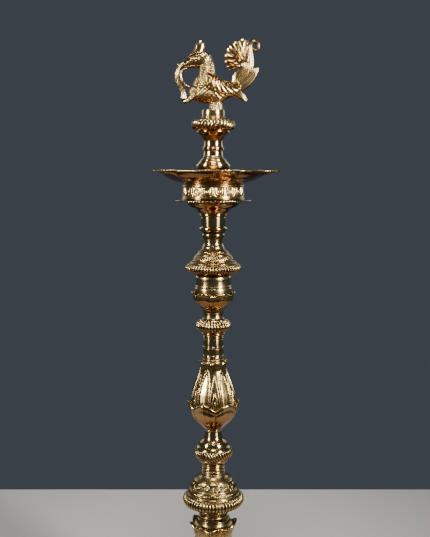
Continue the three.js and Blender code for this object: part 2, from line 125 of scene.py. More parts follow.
def hollow_of(points, loop=False):
    """How far each point lies below the neighbours about a millimetre away, along the normal, as a
    share from -1 on a sharp edge to 1 in a deep groove. Rows and columns are compared apart and
    the deeper of the two hollows is kept."""
    rows, columns = points.shape[:2]
    along = np.linalg.norm(np.diff(points, axis=0), axis=-1).mean()
    around = np.linalg.norm(np.roll(points, -1, axis=1) - points, axis=-1).mean()
    row_step = min(max(1, round(HOLLOW_REACH / max(along, 1e-6))), max(1, rows // 4))
    column_step = min(max(1, round(HOLLOW_REACH / max(around, 1e-6))), max(1, columns // 8))
    mode = "wrap" if loop else "edge"
    tall = np.pad(points, ((row_step, row_step), (0, 0), (0, 0)), mode=mode)
    above, below = tall[2 * row_step:], tall[:-2 * row_step]
    left = np.roll(points, column_step, axis=1)
    right = np.roll(points, -column_step, axis=1)
    normal = np.cross(right - left, above - below)
    normal /= np.maximum(np.linalg.norm(normal, axis=-1, keepdims=True), 1e-9)
    by_row = np.einsum("ijk,ijk->ij", (above + below) / 2 - points, normal)
    by_column = np.einsum("ijk,ijk->ij", (left + right) / 2 - points, normal)
    deeper = np.where(np.abs(by_row) > np.abs(by_column), by_row, by_column)
    return np.clip(deeper / HOLLOW_FULL, -1, 1)


def build(name, grids, material, node):
    """One mesh object from several closed grids in mm, each (points, loop, sunk). It stands for a
    CAD node and rides on that node's body. The larger of the hollow that its shape makes and the
    share that its relief is sunk is kept as a point attribute."""
    vertices, quads, triangles, hollows = [], [], [], []
    offset = 0
    for points, loop, sunk in grids:
        v, q, t = close_up(points, loop)
        hollow = hollow_of(points, loop)
        if volume(v, q, t) < 0:
            q, t, hollow = q[:, ::-1], t[:, ::-1], -hollow
        hollow = np.where(sunk > hollow, sunk, hollow)
        ends = [] if loop else [hollow[0].mean(), hollow[-1].mean()]
        vertices.append(v)
        quads.append(q + offset)
        triangles.append(t + offset)
        hollows.append(np.concatenate([hollow.ravel(), ends]))
        offset += len(v)
    vertices = np.vstack(vertices) * MM
    quads, triangles = np.vstack(quads), np.vstack(triangles)
    corners = np.concatenate([quads.ravel(), triangles.ravel()])
    starts = np.concatenate([
        np.arange(len(quads)) * 4,
        len(quads) * 4 + np.arange(len(triangles)) * 3,
    ])
    mesh = bpy.data.meshes.new(name)
    mesh.vertices.add(len(vertices))
    mesh.vertices.foreach_set("co", vertices.astype(np.float32).ravel())
    mesh.loops.add(len(corners))
    mesh.loops.foreach_set("vertex_index", corners.astype(np.int32))
    mesh.polygons.add(len(starts))
    mesh.polygons.foreach_set("loop_start", starts.astype(np.int32))
    mesh.update(calc_edges=True)
    hollow = mesh.attributes.new("hollow", "FLOAT", "POINT")
    hollow.data.foreach_set("value", np.concatenate(hollows).astype(np.float32))
    mesh.shade_smooth()
    mesh.materials.append(material)
    piece = bpy.data.objects.new(name, mesh)
    bpy.context.scene.collection.objects.link(piece)
    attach(piece, BODY_OF[node])
    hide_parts(node)
    print(f"{name}: {len(quads) * 2 + len(triangles)} triangles")
    return piece


BODY_OF = {
    node: body
    for body, nodes in frame["record"]["behaviour"]["bodies"].items()
    for node in nodes
}

# %% [markdown]
# ## The turner's outline
# A turned piece is drawn as a chain of strokes from the axis, out, up the side and back in. A
# stroke is straight, or bulges out as a bead, or sags in as a cove. Both curves are half ellipses,
# as a form tool cuts them, so they meet the next stroke in a crisp quirk that catches dark polish.


# %% Outlines and turning
OUTLINE_STEP = 0.8  # mm between rows of points on a curved stroke
PLAIN_STEP = 4.0  # mm between rows on a straight stroke, which carries no relief


def outline(start, *strokes, step=OUTLINE_STEP, plain=PLAIN_STEP):
    """Points [radius, height] along strokes (radius, height[, bulge]). Within a stroke a point is
    start + share * chord + bulge * sin(angle) * outward, with share = (1 - cos(angle)) / 2."""
    pieces = [np.array([start], float)]
    here = np.array(start, float)
    for stroke in strokes:
        there = np.array(stroke[:2], float)
        bulge = stroke[2] if len(stroke) > 2 else 0
        chord = there - here
        length = np.hypot(*chord)
        count = max(1, math.ceil((length + 1.2 * abs(bulge)) / (step if bulge else plain)))
        count = max(count, 5) if bulge else count
        angle = np.linspace(0, math.pi, count + 1)[1:, None]
        share = (1 - np.cos(angle)) / 2 if bulge else angle / math.pi
        outward = np.array([chord[1], -chord[0]]) / max(length, 1e-9)
        pieces.append(here + share * chord + bulge * np.sin(angle) * outward)
        here = there
    return np.vstack(pieces)


def sunk_of(lift):
    """The share of dark polish that relief holds: none above -0.35 mm and all of it by -1.6 mm."""
    return np.clip((-0.35 - lift) / 1.25, 0, 1)


def turn(line, seat, around, relief=None, loop=False):
    """The outline carried round the axis. relief(angle, height, radius) gives a height in mm that
    is added along the outline's own outward normal. Heights are from the seat. Returns the grid,
    whether it is a loop, and how far each point is sunk."""
    if loop:
        slope = (np.roll(line, -1, axis=0) - np.roll(line, 1, axis=0)) / 2
    else:
        slope = np.gradient(line, axis=0)
    outward = np.stack([slope[:, 1], -slope[:, 0]], axis=-1)
    outward /= np.maximum(np.linalg.norm(outward, axis=-1, keepdims=True), 1e-9)
    angle = np.arange(around) * FULL_TURN / around
    radius, height = line[:, :1], line[:, 1:]
    lift = relief(angle[None, :], height, radius) if relief else 0
    radius = np.maximum(radius + lift * outward[:, :1], 0)
    height = height + lift * outward[:, 1:] + np.zeros((1, around))
    x, y = radius * np.cos(angle), radius * np.sin(angle)
    return np.stack([x, y, height + seat], axis=-1), loop, sunk_of(lift)


def top_of(node):
    """The height in mm that the section above a node stands on."""
    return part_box(node)[1].z / MM


THREAD_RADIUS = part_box("lower_stud")[1].x / MM
BORE = THREAD_RADIUS + 0.3
BORE_DEPTH = 9
GAP = 0.05


def blind_bore(mouth, down):
    """Strokes of a threaded hole: in along the face, then to the hole's flat end on the axis."""
    end = mouth - BORE_DEPTH if down else mouth + BORE_DEPTH
    return [(BORE, mouth), (BORE, end), (0, end)] if down else [(0, end), (BORE, end), (BORE, mouth)]


print("thread", THREAD_RADIUS, "mm radius")

# %% [markdown]
# ## Relief
# Each pattern is a height as a function of the angle round the piece and the height up it. A
# gadroon is a rounded rib, so it is the absolute value of a cosine: round on top, and sharp in the
# valleys where the tool stops. A slanted rope is the same with the angle turned as it climbs. A
# window fades a pattern in and out at the edges of its band.


# %% Relief patterns
def window(value, low, high, soft=0.5):
    """1 between low and high, falling smoothly to 0 over `soft` outside them."""
    rise = np.clip((value - low + soft) / soft, 0, 1)
    fall = np.clip((high + soft - value) / soft, 0, 1)
    return rise * rise * (3 - 2 * rise) * fall * fall * (3 - 2 * fall)


def ribs(angle, height, low, high, count, depth, slant=0.0, soft=0.8):
    """Rounded ribs cut into a band: depth * (|cos(count / 2 * (angle + slant * climb))| - 1)."""
    phase = count / 2 * (angle + slant * (height - low))
    return depth * (np.abs(np.cos(phase)) - 1) * window(height, low, high, soft)


def groove(distance, width, depth):
    """A round-bottomed groove of a width and depth along the line where distance is 0."""
    return -depth * np.exp(-((distance / (width / 2)) ** 2))


def ridge(distance, width, tall):
    """A rounded ridge of a width and height along the line where distance is 0."""
    return tall * np.exp(-((distance / (width / 2)) ** 2))


def frieze(angle, height, radius, low, high, count, depth=0.7):
    """A chased band of scrolls: two rings face each other over a pointed leaf, and a stem swings
    down from each ring to the leaf's foot. Everything is a ridge over the distance to a curve, cut
    in a ground that is sunk by `depth`."""
    half = (high - low) / 2
    local = (angle * count / FULL_TURN) % 1 - 0.5
    x = np.abs(local) * FULL_TURN / count * radius
    y = (height - (low + high) / 2) / half
    reach = np.maximum(FULL_TURN / count * radius / 2, 1)
    scroll = np.hypot(x - reach * 0.62, (y - 0.3) * half)
    size = np.minimum(half * 0.55, reach * 0.34)
    width = size * 0.42
    pattern = ridge(scroll - size, width, 1.0)
    pattern = np.maximum(pattern, ridge(scroll, width * 1.3, 1.0))
    stem = x - reach * (0.62 - 0.55 * np.clip((0.3 - y) / 1.2, 0, 1) ** 1.5)
    pattern = np.maximum(pattern, ridge(stem, width, 0.9) * (y < 0))
    leaf = x - reach * 0.3 * np.clip((0.5 - y) / 1.4, 0, 1)
    pattern = np.maximum(pattern, ridge(leaf, width, 0.8) * (y < 0.55))
    pattern = np.maximum(pattern, ridge(x, width * 0.8, 0.7) * (y < 0.4))
    pattern = np.maximum(pattern, ridge(reach - x, width * 1.2, 0.9) * (y < 0.1))
    pattern = np.maximum(pattern, ridge(y - np.cos(x / reach * math.pi) * 0.12 - 0.88, 0.2, 0.9))
    return depth * (pattern - 1) * window(height, low, high, 0.3)


def ticks(angle, height, low, high, count, depth, lean=0.0):
    """Short chisel cuts side by side, each a narrow groove, leaning by `lean` per mm of height."""
    phase = (angle * count / FULL_TURN + lean * (height - low)) % 1
    return groove(phase - 0.5, 0.36, depth) * window(height, low, high, 0.25)


# %% [markdown]
# ## Polished brass
# Brass is copper with about a third of zinc, cast in sand, turned on a lathe and polished. It is a
# metal, so it has no diffuse colour of its own: its hue is the tint of what it mirrors. Four
# things make it look real. The polish isn't even, so the roughness and the hue drift over a few
# centimetres. Black polish and tarnish stay in every hollow, and the mesh says where those are.
# Edges are rubbed the brightest. Faces that look down get a painted coppery brown reflection in
# their base colour, as if they mirrored dark brown surroundings. A cast surface keeps a fine orange
# peel, and a turned one keeps rings from the tool, drawn a little coarser than real so that they show.


# %% Colours and nodes
def linear(hex_colour):
    """An sRGB hex colour as linear red, green, blue and alpha."""
    channels = [int(hex_colour[i:i + 2], 16) / 255 for i in (1, 3, 5)]
    curve = [c / 12.92 if c <= 0.04045 else ((c + 0.055) / 1.055) ** 2.4 for c in channels]
    return (*curve, 1)


def add(tree, kind, inputs=None, **settings):
    """Adds a node, sets its properties, and fills each input with a value or links it a socket."""
    node = tree.nodes.new(kind)
    for key, value in settings.items():
        setattr(node, key, value)
    for key, value in (inputs or {}).items():
        socket = node.inputs[key]
        if isinstance(value, bpy.types.NodeSocket):
            tree.links.new(value, socket)
        else:
            socket.default_value = value
    return node


UNDERSIDE_PAINTED_REFLECTION = "#8a4a20"  # painted reflection: a coppery brown on faces that look down
UNDERSIDE_PAINT_SHARE = 0.8
RUBBED_EDGE = "#f4dfa2"
CLOUD_MM = 45  # the size of the slow drift in hue
SMUDGE_MM = 7  # the size of the patches where the polish differs
PEEL_MM = 2.2  # the casting's orange peel
TOOL_MM = 0.9  # the tool rings, coarser than real so that they show


def brass(name, bright, deep, tarnish, roughness, rings=0.0, peel=0.0):
    """Polished brass. Hue drifts from bright to deep, tarnish fills the hollows, edges are bright,
    and the undersides get a painted coppery brown reflection mixed into their base colour.
    rings and peel are the heights in mm of the tool rings and of the casting's orange peel."""
    material = bpy.data.materials.new(name)
    material.use_nodes = True
    tree = material.node_tree
    shader = tree.nodes["Principled BSDF"]
    shader.inputs["Metallic"].default_value = 1.0
    place = add(tree, "ShaderNodeTexCoord").outputs["Object"]
    hollow = add(tree, "ShaderNodeAttribute", attribute_name="hollow").outputs["Fac"]
    cloud = add(tree, "ShaderNodeTexNoise",
                {"Vector": place, "Scale": 1 / (CLOUD_MM * MM), "Detail": 4.0, "Roughness": 0.6})
    smudge = add(tree, "ShaderNodeTexNoise",
                 {"Vector": place, "Scale": 1 / (SMUDGE_MM * MM), "Detail": 3.0, "Roughness": 0.65})
    hue = add(tree, "ShaderNodeMix",
              {0: cloud.outputs["Fac"], 6: linear(deep), 7: linear(bright)}, data_type="RGBA")
    sunk = add(tree, "ShaderNodeMapRange",
               {"Value": hollow, "From Min": 0.06, "From Max": 0.6}, interpolation_type="SMOOTHSTEP")
    uneven = add(tree, "ShaderNodeMapRange",
                 {"Value": smudge.outputs["Fac"], "From Min": 0.3, "From Max": 0.6,
                  "To Min": 0.55, "To Max": 1.0})
    dirt = add(tree, "ShaderNodeMath",
               {0: sunk.outputs["Result"], 1: uneven.outputs["Result"]}, operation="MULTIPLY")
    aged = add(tree, "ShaderNodeMix",
               {0: dirt.outputs["Value"], 6: hue.outputs[2], 7: linear(tarnish)}, data_type="RGBA")
    # Painted reflection: faces that look down get a coppery brown mixed into the base colour, as if they
    # mirrored dark brown surroundings.
    facing = add(tree, "ShaderNodeNewGeometry").outputs["Normal"]
    facing = add(tree, "ShaderNodeSeparateXYZ", {"Vector": facing})
    underside_paint_mask = add(tree, "ShaderNodeMapRange",
                {"Value": facing.outputs["Z"], "From Min": -0.06, "From Max": -0.68,
                 "To Max": UNDERSIDE_PAINT_SHARE}, interpolation_type="SMOOTHSTEP")
    painted_reflection_mix = add(tree, "ShaderNodeMix",
                  {0: underside_paint_mask.outputs["Result"], 6: aged.outputs[2], 7: linear(UNDERSIDE_PAINTED_REFLECTION)},
                  data_type="RGBA")
    edge = add(tree, "ShaderNodeMapRange",
               {"Value": hollow, "From Min": -0.2, "From Max": -0.9, "To Max": 0.55})
    rubbed = add(tree, "ShaderNodeMix",
                 {0: edge.outputs["Result"], 6: painted_reflection_mix.outputs[2], 7: linear(RUBBED_EDGE)},
                 data_type="RGBA")
    tree.links.new(rubbed.outputs[2], shader.inputs["Base Color"])
    polish = add(tree, "ShaderNodeMapRange",
                 {"Value": smudge.outputs["Fac"], "From Min": 0.3, "From Max": 0.7,
                  "To Min": roughness * 0.75, "To Max": roughness * 1.35})
    dull = add(tree, "ShaderNodeMath",
               {0: dirt.outputs["Value"], 1: 0.3, 2: polish.outputs["Result"]},
               operation="MULTIPLY_ADD")
    tree.links.new(dull.outputs["Value"], shader.inputs["Roughness"])
    normal = None
    if peel:
        pits = add(tree, "ShaderNodeTexNoise",
                   {"Vector": place, "Scale": 1 / (PEEL_MM * MM), "Detail": 3.0, "Roughness": 0.55})
        normal = add(tree, "ShaderNodeBump",
                     {"Height": pits.outputs["Fac"], "Distance": peel * MM}).outputs["Normal"]
    if rings:
        flat = add(tree, "ShaderNodeVectorMath", {0: place, 1: (1, 1, 0)}, operation="MULTIPLY")
        out = add(tree, "ShaderNodeVectorMath", {0: flat.outputs["Vector"]}, operation="LENGTH")
        up = add(tree, "ShaderNodeSeparateXYZ", {"Vector": place})
        where = add(tree, "ShaderNodeCombineXYZ",
                    {"X": out.outputs["Value"], "Y": up.outputs["Z"]})
        tool = add(tree, "ShaderNodeTexNoise",
                   {"Vector": where.outputs["Vector"], "Scale": 1 / (TOOL_MM * MM), "Detail": 2.0})
        inputs = {"Height": tool.outputs["Fac"], "Distance": rings * MM}
        if normal:
            inputs["Normal"] = normal
        normal = add(tree, "ShaderNodeBump", inputs).outputs["Normal"]
    tree.links.new(normal, shader.inputs["Normal"])
    return material


TURNED = brass("turned_brass_polished", "#e6cc90", "#b8985e", "#221809", 0.11, rings=0.012)
CAST = brass("cast_brass_chased", "#e2c788", "#b39458", "#171108", 0.18, peel=0.05)
STUD = brass("brass_cut_thread", "#dcc284", "#a98a58", "#22180a", 0.3, rings=0.02)
print("materials:", len(bpy.data.materials))

# %% [markdown]
# ## Petals
# Lotus petals stand off the cup that they grow from and curl out at the tip, so relief can't make
# them: a height over the cup can't lean back over itself. A ring of petals is a thin shell instead.
# Two ribs are drawn as curves of [radius, height], one up the middle of a petal and a shorter one
# up the crease between two petals. Every other rib is a mix of the two, so the lip runs up to each
# tip and falls to a sharp notch, as it does on the cast ones.


# %% Petals
def curve(points, share):
    """A smooth curve through points at equal shares of its length from 0 to 1 (Catmull-Rom): each
    stretch is a cubic whose slope at a point is half the step between that point's neighbours."""
    points = np.asarray(points, float)
    if points.ndim == 1:
        points = points[:, None]
    last = len(points) - 1
    padded = np.vstack([2 * points[0] - points[1], points, 2 * points[-1] - points[-2]])
    at = np.clip(np.asarray(share, float) * last, 0, last)
    first = np.minimum(at.astype(int), last - 1)
    t = (at - first)[:, None]
    a, b, c, d = (padded[first + k] for k in range(4))
    result = b + t * ((c - a) + t * ((2 * a - 5 * b + 4 * c - d) + t * (3 * (b - c) + d - a))) / 2
    return result if result.shape[1] > 1 else result[:, 0]


def whorl(count, notch, tip, seat, around=288, first=0.5, thick=1.8, crease=1.2, point=1.6,
          veins=0.5, along=36):
    """A ring of `count` joined petals, with the middle of one `first` of a petal past a notch at
    the front. A rib is notch + weight * (tip - notch), where weight = 1 - off ** point and off goes
    from 0 in a petal's middle to 1 in the crease. The shell lies half its thickness either side
    along the rib's normal. The crease sinks as exp(-(distance / 0.16)²), and veins rise likewise."""
    share = np.linspace(0, 1, along)
    angle = np.arange(around) * FULL_TURN / around
    off = np.abs(((angle - FRONT) * count / FULL_TURN + first) % 1 - 0.5) * 2
    weight = (1 - off**point)[None, :, None]
    low, high = curve(notch, share)[:, None, :], curve(tip, share)[:, None, :]
    rib = low + weight * (high - low)
    slope = np.gradient(rib, axis=0)
    normal = np.stack([slope[..., 1], -slope[..., 0]], axis=-1)
    normal /= np.maximum(np.linalg.norm(normal, axis=-1, keepdims=True), 1e-9)
    grown = np.minimum(1, share / 0.3)[:, None]
    sink = crease * np.exp(-(((1 - off) / 0.16) ** 2))[None, :] * grown
    rise = veins * (np.exp(-((off / 0.07) ** 2)) + 0.6 * np.exp(-(((off - 0.4) / 0.07) ** 2))
                    + 0.8 * np.exp(-(((off - 0.74) / 0.06) ** 2)))[None, :] * grown
    lip = np.clip((share - 0.93) / 0.07, 0, 1)[:, None]
    swollen = (1 + 0.35 * window(share, 0.84, 1, 0.1))[:, None]
    half = thick / 2 * np.sqrt(np.maximum(1 - lip**2, 0.01)) * swollen
    outer = rib + (half + (rise - sink) * (1 - lip))[..., None] * normal
    inner = rib - (half + sink * 0.4 * (1 - lip))[..., None] * normal
    shell = np.concatenate([outer, inner[::-1]])
    radius, height = shell[..., 0], shell[..., 1]
    grid = np.stack([radius * np.cos(angle), radius * np.sin(angle), height + seat], axis=-1)
    return grid, True, 0.0


# %% [markdown]
# ## Base
# A samai stands on a wide hollow foot, so that its dish can't pull it over. The rim is a rolled
# gadroon, and the dome rises in steps with a chased band and a ring of fluting. It is cast
# thin and hollow, so its outline is a closed loop with an inner side, and the nut that holds the
# stem shows underneath.

# %% Base
FOOT_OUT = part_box("base_foot")[1].x / MM
FOOT_IN = FOOT_OUT - 12
DOME_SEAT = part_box("base_dome")[0].z / MM - GAP
DOME_RIM = FOOT_OUT - 1
DOME_IN = DOME_RIM - 4.5
DOME_TALL = top_of("base_dome") - DOME_SEAT

foot_line = outline(
    (FOOT_IN, 0), (FOOT_OUT - 1, 0), (FOOT_OUT, 1, 0.3), (FOOT_OUT, 3.4, 0.3),
    (FOOT_OUT - 2, 4.4, -0.3), (FOOT_OUT - 2, 9.6, 1.8), (FOOT_OUT - 3, 10.4, -0.2),
    (FOOT_OUT - 3, 12), (DOME_IN - 0.3, 12), (DOME_IN - 0.3, 15), (FOOT_IN, 15), (FOOT_IN, 0))
build(
    "foot_ring",
    [turn(foot_line[:-1], 0, 360,
          lambda a, z, r: ribs(a, z, 4.6, 9.4, 90, 0.8) * (r > FOOT_OUT - 3), loop=True)],
    CAST, "base_foot")

dome_line = outline(
    (DOME_IN, GAP), (DOME_RIM - 4, GAP), (DOME_RIM - 4, 8.2, 4.05), (DOME_RIM - 5, 9.2, -0.3),
    (DOME_RIM - 5.5, 11.5, 0.9), (DOME_RIM - 7.5, 12.5, -0.3), (DOME_RIM * 0.86, 26, 2.4),
    (DOME_RIM * 0.79, 31.5, 1.2), (DOME_RIM * 0.775, 33.5, 0.9), (DOME_RIM * 0.7, 36.5, -0.6),
    (DOME_RIM * 0.68, 38.5, 1.1), (DOME_RIM * 0.665, 40.5, -0.3), (DOME_RIM * 0.53, 55, 2.6),
    (DOME_RIM * 0.515, 57.6, 1.2), (DOME_RIM * 0.49, 59.6, -0.3), (DOME_RIM * 0.34, 76.8, -1.2),
    (25.5, 87, -1.4), (25.5, 89.5, 1.2), (23.5, 90.5), (22.5, 94, -0.6), (23, DOME_TALL, 0.4),
    (BORE, DOME_TALL), (BORE, DOME_TALL - 7), (22, DOME_TALL - 7), (30.5, 73.6),
    (DOME_RIM * 0.5 - 4.5, 54.5), (DOME_RIM * 0.7 - 4.5, 33.4), (DOME_RIM * 0.86 - 4.5, 22.8),
    (DOME_IN, 9.9), (DOME_IN, GAP), step=1.25)


def dome_relief(angle, height, radius):
    """Rim gadroons, a chased frieze on the first step, and fluting round the second."""
    outside = radius > DOME_RIM * 0.83 - (height - 26) * 1.05
    return (ribs(angle, height, 1.2, 8, 72, 1.5) * (radius > DOME_IN + 1)
            + frieze(angle, height, radius, 14, 25, 24, 0.8) * outside
            + ticks(angle, height, 29, 32.5, 72, 0.6) * outside
            + ribs(angle, height, 43, 53, 32, 1.4) * (radius > DOME_RIM * 0.52)
            + ticks(angle, height, 61.5, 66, 72, 0.5) * (radius > DOME_RIM * 0.42))


dome_grids = [turn(dome_line[:-1], DOME_SEAT, 432, dome_relief, loop=True)]
build("dome", dome_grids, CAST, "base_dome")

# %% [markdown]
# ## Bolt, studs, nut and washer
# The sections are held by threaded studs, and the lowest by a bolt with a nut. A helix could be
# swept along its path, but a thread is also just a height on a cylinder: a tooth whose phase shifts
# by one pitch in each turn. That keeps it one clean grid, closed at both ends.

# %% Bolt, nut and washer
STEEL = bpy.data.materials.new("steel_plain_dull")
STEEL.use_nodes = True
steel_tree = STEEL.node_tree
steel_shader = steel_tree.nodes["Principled BSDF"]
steel_shader.inputs["Metallic"].default_value = 1.0
steel_place = add(steel_tree, "ShaderNodeTexCoord").outputs["Object"]
steel_cloud = add(steel_tree, "ShaderNodeTexNoise", {"Vector": steel_place, "Scale": 400.0})
steel_hue = add(steel_tree, "ShaderNodeMix",
                {0: steel_cloud.outputs["Fac"], 6: linear("#6f7072"), 7: linear("#9a9b9c")},
                data_type="RGBA")
steel_tree.links.new(steel_hue.outputs[2], steel_shader.inputs["Base Color"])
steel_rough = add(steel_tree, "ShaderNodeMapRange",
                  {"Value": steel_cloud.outputs["Fac"], "To Min": 0.3, "To Max": 0.55})
steel_tree.links.new(steel_rough.outputs["Result"], steel_shader.inputs["Roughness"])

THREAD_PITCH = 2.0
THREAD_DEPTH = 0.55


def threaded(node):
    """A stud as a bar whose radius drops by a rounded saw tooth of height / pitch - angle / turn,
    so that the crest climbs one pitch in each turn."""
    low, high = (corner.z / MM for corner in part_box(node))
    tall = high - low
    line = outline((0, 0), (THREAD_RADIUS - 0.7, 0), (THREAD_RADIUS, 0.7),
                   (THREAD_RADIUS, tall - 0.7), (THREAD_RADIUS - 0.7, tall), (0, tall), plain=0.25)

    def thread(angle, height, radius):
        phase = height / THREAD_PITCH - angle / FULL_TURN
        tooth = np.abs((phase % 1) * 2 - 1) ** 0.8
        side = (radius > THREAD_RADIUS - 0.35) * window(height, 0.6, tall - 0.6, 0.5)
        return -THREAD_DEPTH * tooth * side

    return [turn(line, low, 48, thread)]


for stud in ("base_bolt", "lower_stud", "middle_stud", "upper_stud", "saucer_stud",
             "pedestal_stud", "finial_stud"):
    build(stud.replace("_stud", "_thread").replace("_bolt", "_bolt_thread"), threaded(stud), STUD,
          stud)


PLATE_AROUND = 180


def ring_plate(node, sides, chamfer):
    """A washer or a nut: a chamfered loop whose outer radius is that of a regular polygon,
    apothem / cos(angle from the nearest flat's middle)."""
    low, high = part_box(node)
    tall, out = (high.z - low.z) / MM, high.x / MM
    line = outline((BORE, 0), (out - chamfer, 0), (out, chamfer), (out, tall - chamfer),
                   (out - chamfer, tall), (BORE, tall), (BORE, 0), plain=1.5)[:-1]
    grid, loop, sunk = turn(line, low.z / MM, PLATE_AROUND, loop=True)
    if sides:
        angle = np.arange(PLATE_AROUND) * FULL_TURN / PLATE_AROUND
        angle = angle % (FULL_TURN / sides) - math.pi / sides
        flat = out * math.cos(math.pi / sides) / np.cos(angle)
        across = np.linalg.norm(grid[..., :2], axis=-1)
        squeeze = np.minimum(1, flat[None, :] / np.maximum(across, 1e-6))
        grid[..., :2] *= squeeze[..., None]
    return [(grid, loop, sunk)]


build("nut", ring_plate("base_nut", 6, 0.9), STEEL, "base_nut")
build("washer", ring_plate("base_washer", 0, 0.3), STEEL, "base_washer")

# %% [markdown]
# ## Knops, cups and bells of the stem
# The stem repeats three forms. A knop is a ring between two necks, cut with radial or slanted
# ribs. A cup is a ring of lotus petals round a bowl. A bell covers the cup below like a skirt, with
# a ribbed rim and chased bands. Each section is turned from the axis out and back, so that the
# faces that meet and the threaded holes are there when the sections are unscrewed.

# %% Base knop
knop_seat = top_of("base_dome")
KNOP_TALL = top_of("base_knop") - knop_seat
knop_line = outline(
    *blind_bore(GAP, down=False), (20, GAP), (21, 1.5, 0.4), (21, 3.5, 0.4), (16.5, 8, -1.5),
    (17.5, 11, 0.8), (22, 13.5, -0.8), (22.5, 25, 7.4), (17.5, 27.5, -0.8), (16.5, 30, 0.8),
    (15, 33, -0.6), (16, 37, -0.5), (18, 38.5, 0.8), (17, KNOP_TALL, 0.6),
    *blind_bore(KNOP_TALL, down=True))
build("base_knop_ring", [turn(knop_line, knop_seat, 288, lambda a, z, r: ribs(
    a, z, 14.2, 24.5, 40, 1.5, slant=0.02) * (r > 22))], TURNED, "base_knop")

# %% [markdown]
# ## Lower lotus cup
# A bowl covered in pointed scales carries two rings of petals, and a waist rises out of them. The
# scales are relief on the bowl. The petals lean out past it, so they are shells of their own.

# %% Lower lotus cup
cup_seat = top_of("base_knop")
CUP_TALL = top_of("lower_lotus_cup") - cup_seat
cup_line = outline(
    *blind_bore(GAP, down=False), (17, GAP), (18.5, 2.5, 0.9), (20, 4, -0.3), (27.5, 14, 1.8),
    (28.4, 25, -0.3), (30.6, 32, 0.4), (30.4, 36, 0.4), (25.5, 38, -0.5), (23.5, 42.5, -0.3),
    (22.5, 45, 1.3), (21.5, 48, -0.8), (21.5, 51.5, 1.2), (20.5, 54, -0.6),
    (23.5, 57.5, -0.8), (24.5, 59.5, 0.7), (22, 60.5), (21.6, CUP_TALL),
    (0, CUP_TALL), step=0.7)
SCALES = 18
SCALE_TALL = 8.4


def cup_relief(angle, height, radius):
    """Pointed scales in staggered rows: each rises to the middle of a diamond cell, with a ridge
    along its edge and a bead inside."""
    row = (height - 5) / SCALE_TALL
    column = angle * SCALES / FULL_TURN
    total = 0
    for shift in (0.0, 0.5):
        x = (column + shift) % 1 - 0.5
        y = (row + shift) % 1 - 0.5
        reach = (np.abs(x) + np.abs(y)) * 2
        cell = ridge(reach - 0.78, 0.3, 1.5) + ridge(np.hypot(x, y), 0.3, 1.7)
        total = np.maximum(total, cell * (reach < 1))
    return (total - 0.7) * window(height, 6, 33, 1.0)


cup_grids = [
    turn(cup_line, cup_seat, 324, cup_relief),
    whorl(8, [(27.6, 19), (29.2, 25), (30.4, 29.5), (31.4, 32.5)],
          [(27.6, 19), (29.6, 26), (32, 32), (34.6, 37), (36.4, 40)], cup_seat, first=0.25,
          point=1.2, crease=0.6, thick=2.2, veins=0.3, along=28),
    whorl(16, [(28, 18), (29, 23), (29.9, 26.6)], [(28, 18), (29.6, 25), (31.6, 31), (33, 34)],
          cup_seat, first=0.5, point=1.2, crease=0.5, thick=1.8, veins=0.3, along=28),
]
build("lower_cup", cup_grids, CAST, "lower_lotus_cup")

# %% [markdown]
# ## Lower bell
# The wider of the two bells is chased all over. Its rim is a fat torus of ribs, so the outline
# bulges there and the ribs are cut in it, and two friezes of scrolls go on the slope above.

# %% Lower bell
bell_seat = top_of("lower_lotus_cup")
BELL_TALL = top_of("lower_bell") - bell_seat
bell_line = outline(
    (0, GAP), (22, GAP), (22, 13), (35, 11), (39.4, 4.4, -0.5), (40.8, 3.4), (40.2, 19.2, 6.3),
    (39.4, 20, -0.4), (38.8, 22, 0.8), (38.4, 22.6, -0.3), (37.4, 27.2, 0.5), (36.2, 28.6, 0.3),
    (35.8, 29.8, 0.9), (34.6, 30.8, -0.3), (31.5, 38, 1.0), (27.5, 43.5, 0.9), (26.2, 44.6, 0.6),
    (24.5, 45.6, -0.3), (17.8, 52.3, -1.4), (17, 53.5, -0.2), (17, 57.6, 1.3), (16.4, 58.4, -0.3),
    (16.4, 62.2, 1.2), (16, 63, -0.2), (16.5, BELL_TALL), *blind_bore(BELL_TALL, down=True), step=0.95)


def bell_relief(angle, height, radius):
    """Ribs round the rim, a narrow frieze of scrolls above them, and a broad one over that."""
    skirt = radius > 24
    return (ribs(angle, height, 3.8, 18.8, 56, 2.3, soft=0.5) * (radius > 37)
            + frieze(angle, height, radius, 22.8, 28.0, 20, 0.7) * skirt
            + frieze(angle, height, radius, 31.2, 42, 6, 1.1) * skirt)


build("lower_bell_skirt", [turn(bell_line, bell_seat, 448, bell_relief)], CAST,
      "lower_bell")

# %% [markdown]
# ## Rope knop
# A ring like a twisted rope, cut with a slanting tool. Carving each strand apart would leave seams,
# so it is the rib pattern with its angle turned as it climbs.

# %% Rope knop
rope_seat = top_of("lower_bell")
ROPE_TALL = top_of("rope_knop") - rope_seat
rope_line = outline(
    *blind_bore(GAP, down=False), (16.3, GAP), (16.6, 2.4, 0.6), (17.6, 3.6, -0.3),
    (20.6, 6.4, 0.2), (22, 7.4, 0.3), (22.6, 10.4, 0.5), (23.6, 11.4, -0.2), (27.4, 25.6, 3.6),
    (26.4, 26.2, -0.2), (26.6, 27, 0.2), (23.4, 31, 0.5), (22.4, 31.6, -0.3), (19.8, 37.4, 0.5),
    (19, 38, -0.2), (13.4, 47, -1.3), (12.1, 53, -0.1), (13, ROPE_TALL, -0.2), (0, ROPE_TALL))
build("rope_ring", [turn(rope_line, rope_seat, 342, lambda a, z, r: ribs(
    a, z, 11.6, 25.4, 38, 1.8, slant=0.018, soft=0.5))], TURNED, "rope_knop")

# %% [markdown]
# ## Leaf bulb
# A long bulb holds six broad leaves, with pointed arches nested between them. A lathe leaves no
# corner on such a side, so it is one smooth curve and not strokes. The leaves are flat relief, and
# the cup that they stand in and the small collar above are rings of petals.

